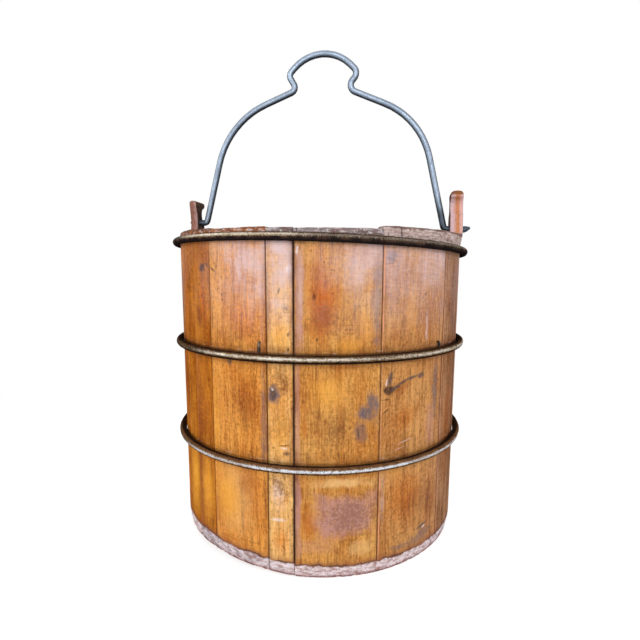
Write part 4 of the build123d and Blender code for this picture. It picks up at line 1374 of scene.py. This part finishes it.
def makeRods(name, paths, build, seed, material, closed=False):
    points, edges, bends = [], [], []
    for path in paths:
        first = len(points)
        points += [place for place, bend in path]
        bends += [bend for place, bend in path]
        edges += [(first + k, first + k + 1) for k in range(len(path) - 1)]
        if closed:
            edges.append((len(points) - 1, first))
    mesh = bpy.data.meshes.new(name)
    mesh.from_pydata([tuple(place) for place in points], edges, [])
    layer = mesh.attributes.new("bend", "FLOAT", "POINT")
    layer.data.foreach_set("value", bends)
    piece = newPiece(name, mesh)
    addTree(piece, rodTree, {
        "Rod Radius": build["radius"], "Step": build["step"], "Dents": build["dents"],
        "Tip Length": build.get("tipLength", 0.001), "Tip Share": build.get("tipShare", 1.0),
        "Wander": build.get("wander", 0.0), "Seed": seed, "Material": material})
    return freeze(piece)


hoopBuild = {"radius": hoopRod, "gap": 0.00005, "step": 0.0026, "dents": 0.0005}


def makeHoops():
    taper = math.atan(tub["taper"] / tub["height"])
    for number, (node, hoop) in enumerate(hoops.items()):
        right, back = hoop["slope"]
        tilt = math.atan(math.hypot(right, back))
        seat = outerRadius(hoop["height"] + tub["rimRadius"] * math.sin(tilt))
        radius = (seat + (hoopBuild["radius"] + hoopBuild["gap"]) / math.cos(taper)) / math.cos(tilt)
        turn = Vector((0, 0, 1)).rotation_difference(Vector((right, back, 1)).normalized()).to_matrix()
        lift = Vector((0, 0, hoop["height"]))
        path = [(turn @ atBearing(degrees, radius) + lift, 0.0) for degrees in range(360)]
        piece = makeRods(node + "_rod", [path], hoopBuild, 2.0 * number, makeIron(node), closed=True)
        fitPiece(piece, "bucket", node)
    print("hoops driven on")


# Nails: each has its bearing and its rise above the middle hoop's rod. Depth is how far they go in.
nails = {
    "radius": 0.0012,
    "depth": 0.0080,
    "bend": 0.0015,
    "clear": 0.0001,
    "places": [(-9.9, 0.0090), (56.7, 0.0046)],
    "step": 0.0005,
    "dents": 0.0003,
    "tipLength": 0.0015,
    "tipShare": 0.8,
    "seed": 9.0,
}


def makeNails():
    paths = []
    rodTop = hoops["hoop_middle"]["height"] + hoopRod
    up = Vector((0, 0, 1))
    for bearing, rise in nails["places"]:
        outward = atBearing(bearing, 1.0)
        face = outerRadius(rodTop + rise)
        stand = face + nails["bend"] + nails["clear"]
        paths.append([
            (outward * (face - nails["depth"]) + up * (rodTop + rise), 0.0),
            (outward * stand + up * (rodTop + rise), nails["bend"]),
            (outward * stand + up * (rodTop + nails["clear"]), 0.0),
        ])
    piece = makeRods("hoop_nails_iron", paths, nails, nails["seed"], makeIron("nails"))
    fitPiece(piece, "bucket", "hoop_nails")
    print("nails bent")


# Bail: corners as shares of the half span and the rise, and of the shorter run beside each bend
bail = {
    "radius": 0.0034,
    "step": 0.0022,
    "dents": 0.00025,
    "wander": 0.0003,
    "seed": 20.0,
    "leftHole": 0.0185,
    "rightHole": 0.0080,
    "leftFace": 0.1410,
    "rightFace": 0.1383,
    "rise": 0.1806,
    "leftEye": 0.1334,
    "rightEye": 0.1333,
    "eyeBend": 0.0038,
    "leftReach": 0.0034,
    "rightSwell": 0.0022,
    "standoff": 0.0002,
    "tipBend": 0.0050,
    "tipTurn": 14.0,
    "tipLength": 0.0050,
    "tipShare": 0.35,
    "corners": [
        (-0.79, 0.643, 0.547), (-0.197, 0.809, 0.355), (-0.268, 0.896, 0.242), (0.0, 1.109, 0.848),
        (0.305, 0.886, 0.34), (0.204, 0.803, 0.52), (0.806, 0.608, 0.607), (0.918, 0.236, 0.02),
    ],
}


def pivotPoint(x):
    slope = (bail["rightHole"] - bail["leftHole"]) / (bail["leftFace"] + bail["rightFace"])
    return Vector((x, 0, tub["height"] + bail["leftHole"] + slope * (x + bail["leftFace"])))


def leftPin():
    end = pivotPoint(-(tub["rimRadius"] + bail["leftReach"]))
    return [(end, 0.0), (pivotPoint(-bail["leftEye"]), bail["eyeBend"])]


def rightPin():
    turn = math.radians(bail["tipTurn"])
    tangent = bail["tipBend"] * math.tan(turn / 2)
    knee = pivotPoint(tub["rimRadius"] + bail["rightSwell"] + bail["standoff"] + tangent)
    reach = tangent + bail["radius"] / 2 + bail["tipLength"]
    tip = knee + Vector((math.cos(turn), 0, math.sin(turn))) * reach
    return [(pivotPoint(bail["rightEye"]), bail["eyeBend"]), (knee, bail["tipBend"]), (tip, 0.0)]


def makeBail():
    left = leftPin()
    right = rightPin()
    crown = [
        pivotPoint(0) + Vector((along * bail["rightEye"], 0, up * bail["rise"]))
        for along, up, share in bail["corners"]
    ]
    run = [left[-1][0]] + crown + [right[0][0]]
    path = list(left)
    for number, (along, up, share) in enumerate(bail["corners"], start=1):
        inward = run[number - 1] - run[number]
        outward = run[number + 1] - run[number]
        half = (math.pi - inward.angle(outward)) / 2
        path.append((run[number], share * min(inward.length, outward.length) / math.tan(half)))
    path += right
    piece = makeRods("bail_rod", [path], bail, bail["seed"], makeIron("bail"))
    fitPiece(piece, "bail", "bail")
    print("bail forged")


makeHoops()
makeNails()
makeBail()


bambooNoises = {
    "fine": {"scale": 1500.0},
    "wide": {"scale": 160.0, "detail": 2.0, "rough": 0.5, "seed": 3.0},
}


# Bamboo dowels stay as CAD solids, with their own finish
def makeBamboo():
    material, tree, shader = newMaterial("bamboo")
    noise = makeNoises(tree, bambooNoises, {"object": objectPlace(tree)})
    fine = noise["fine"]
    colour = layTones(
        tree, paint(206, 178, 120),
        (noise["wide"], 0.35, 0.65, 1.0, paint(176, 142, 86)),
        (fine, 0.52, 0.70, 0.5, paint(122, 92, 54)),
    )
    gloss = spread(tree, fine, 0.3, 0.7, 0.5, 0.7)
    dressShader(tree, shader, colour, gloss, fine, relief=0.4, depth=0.0002)
    for node in ("stave_dowels", "base_dowels"):
        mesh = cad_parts[node].data
        if mesh.materials:
            mesh.materials[0] = material
        else:
            mesh.materials.append(material)


makeBamboo()

bpy.context.scene.view_settings.view_transform = "Standard"
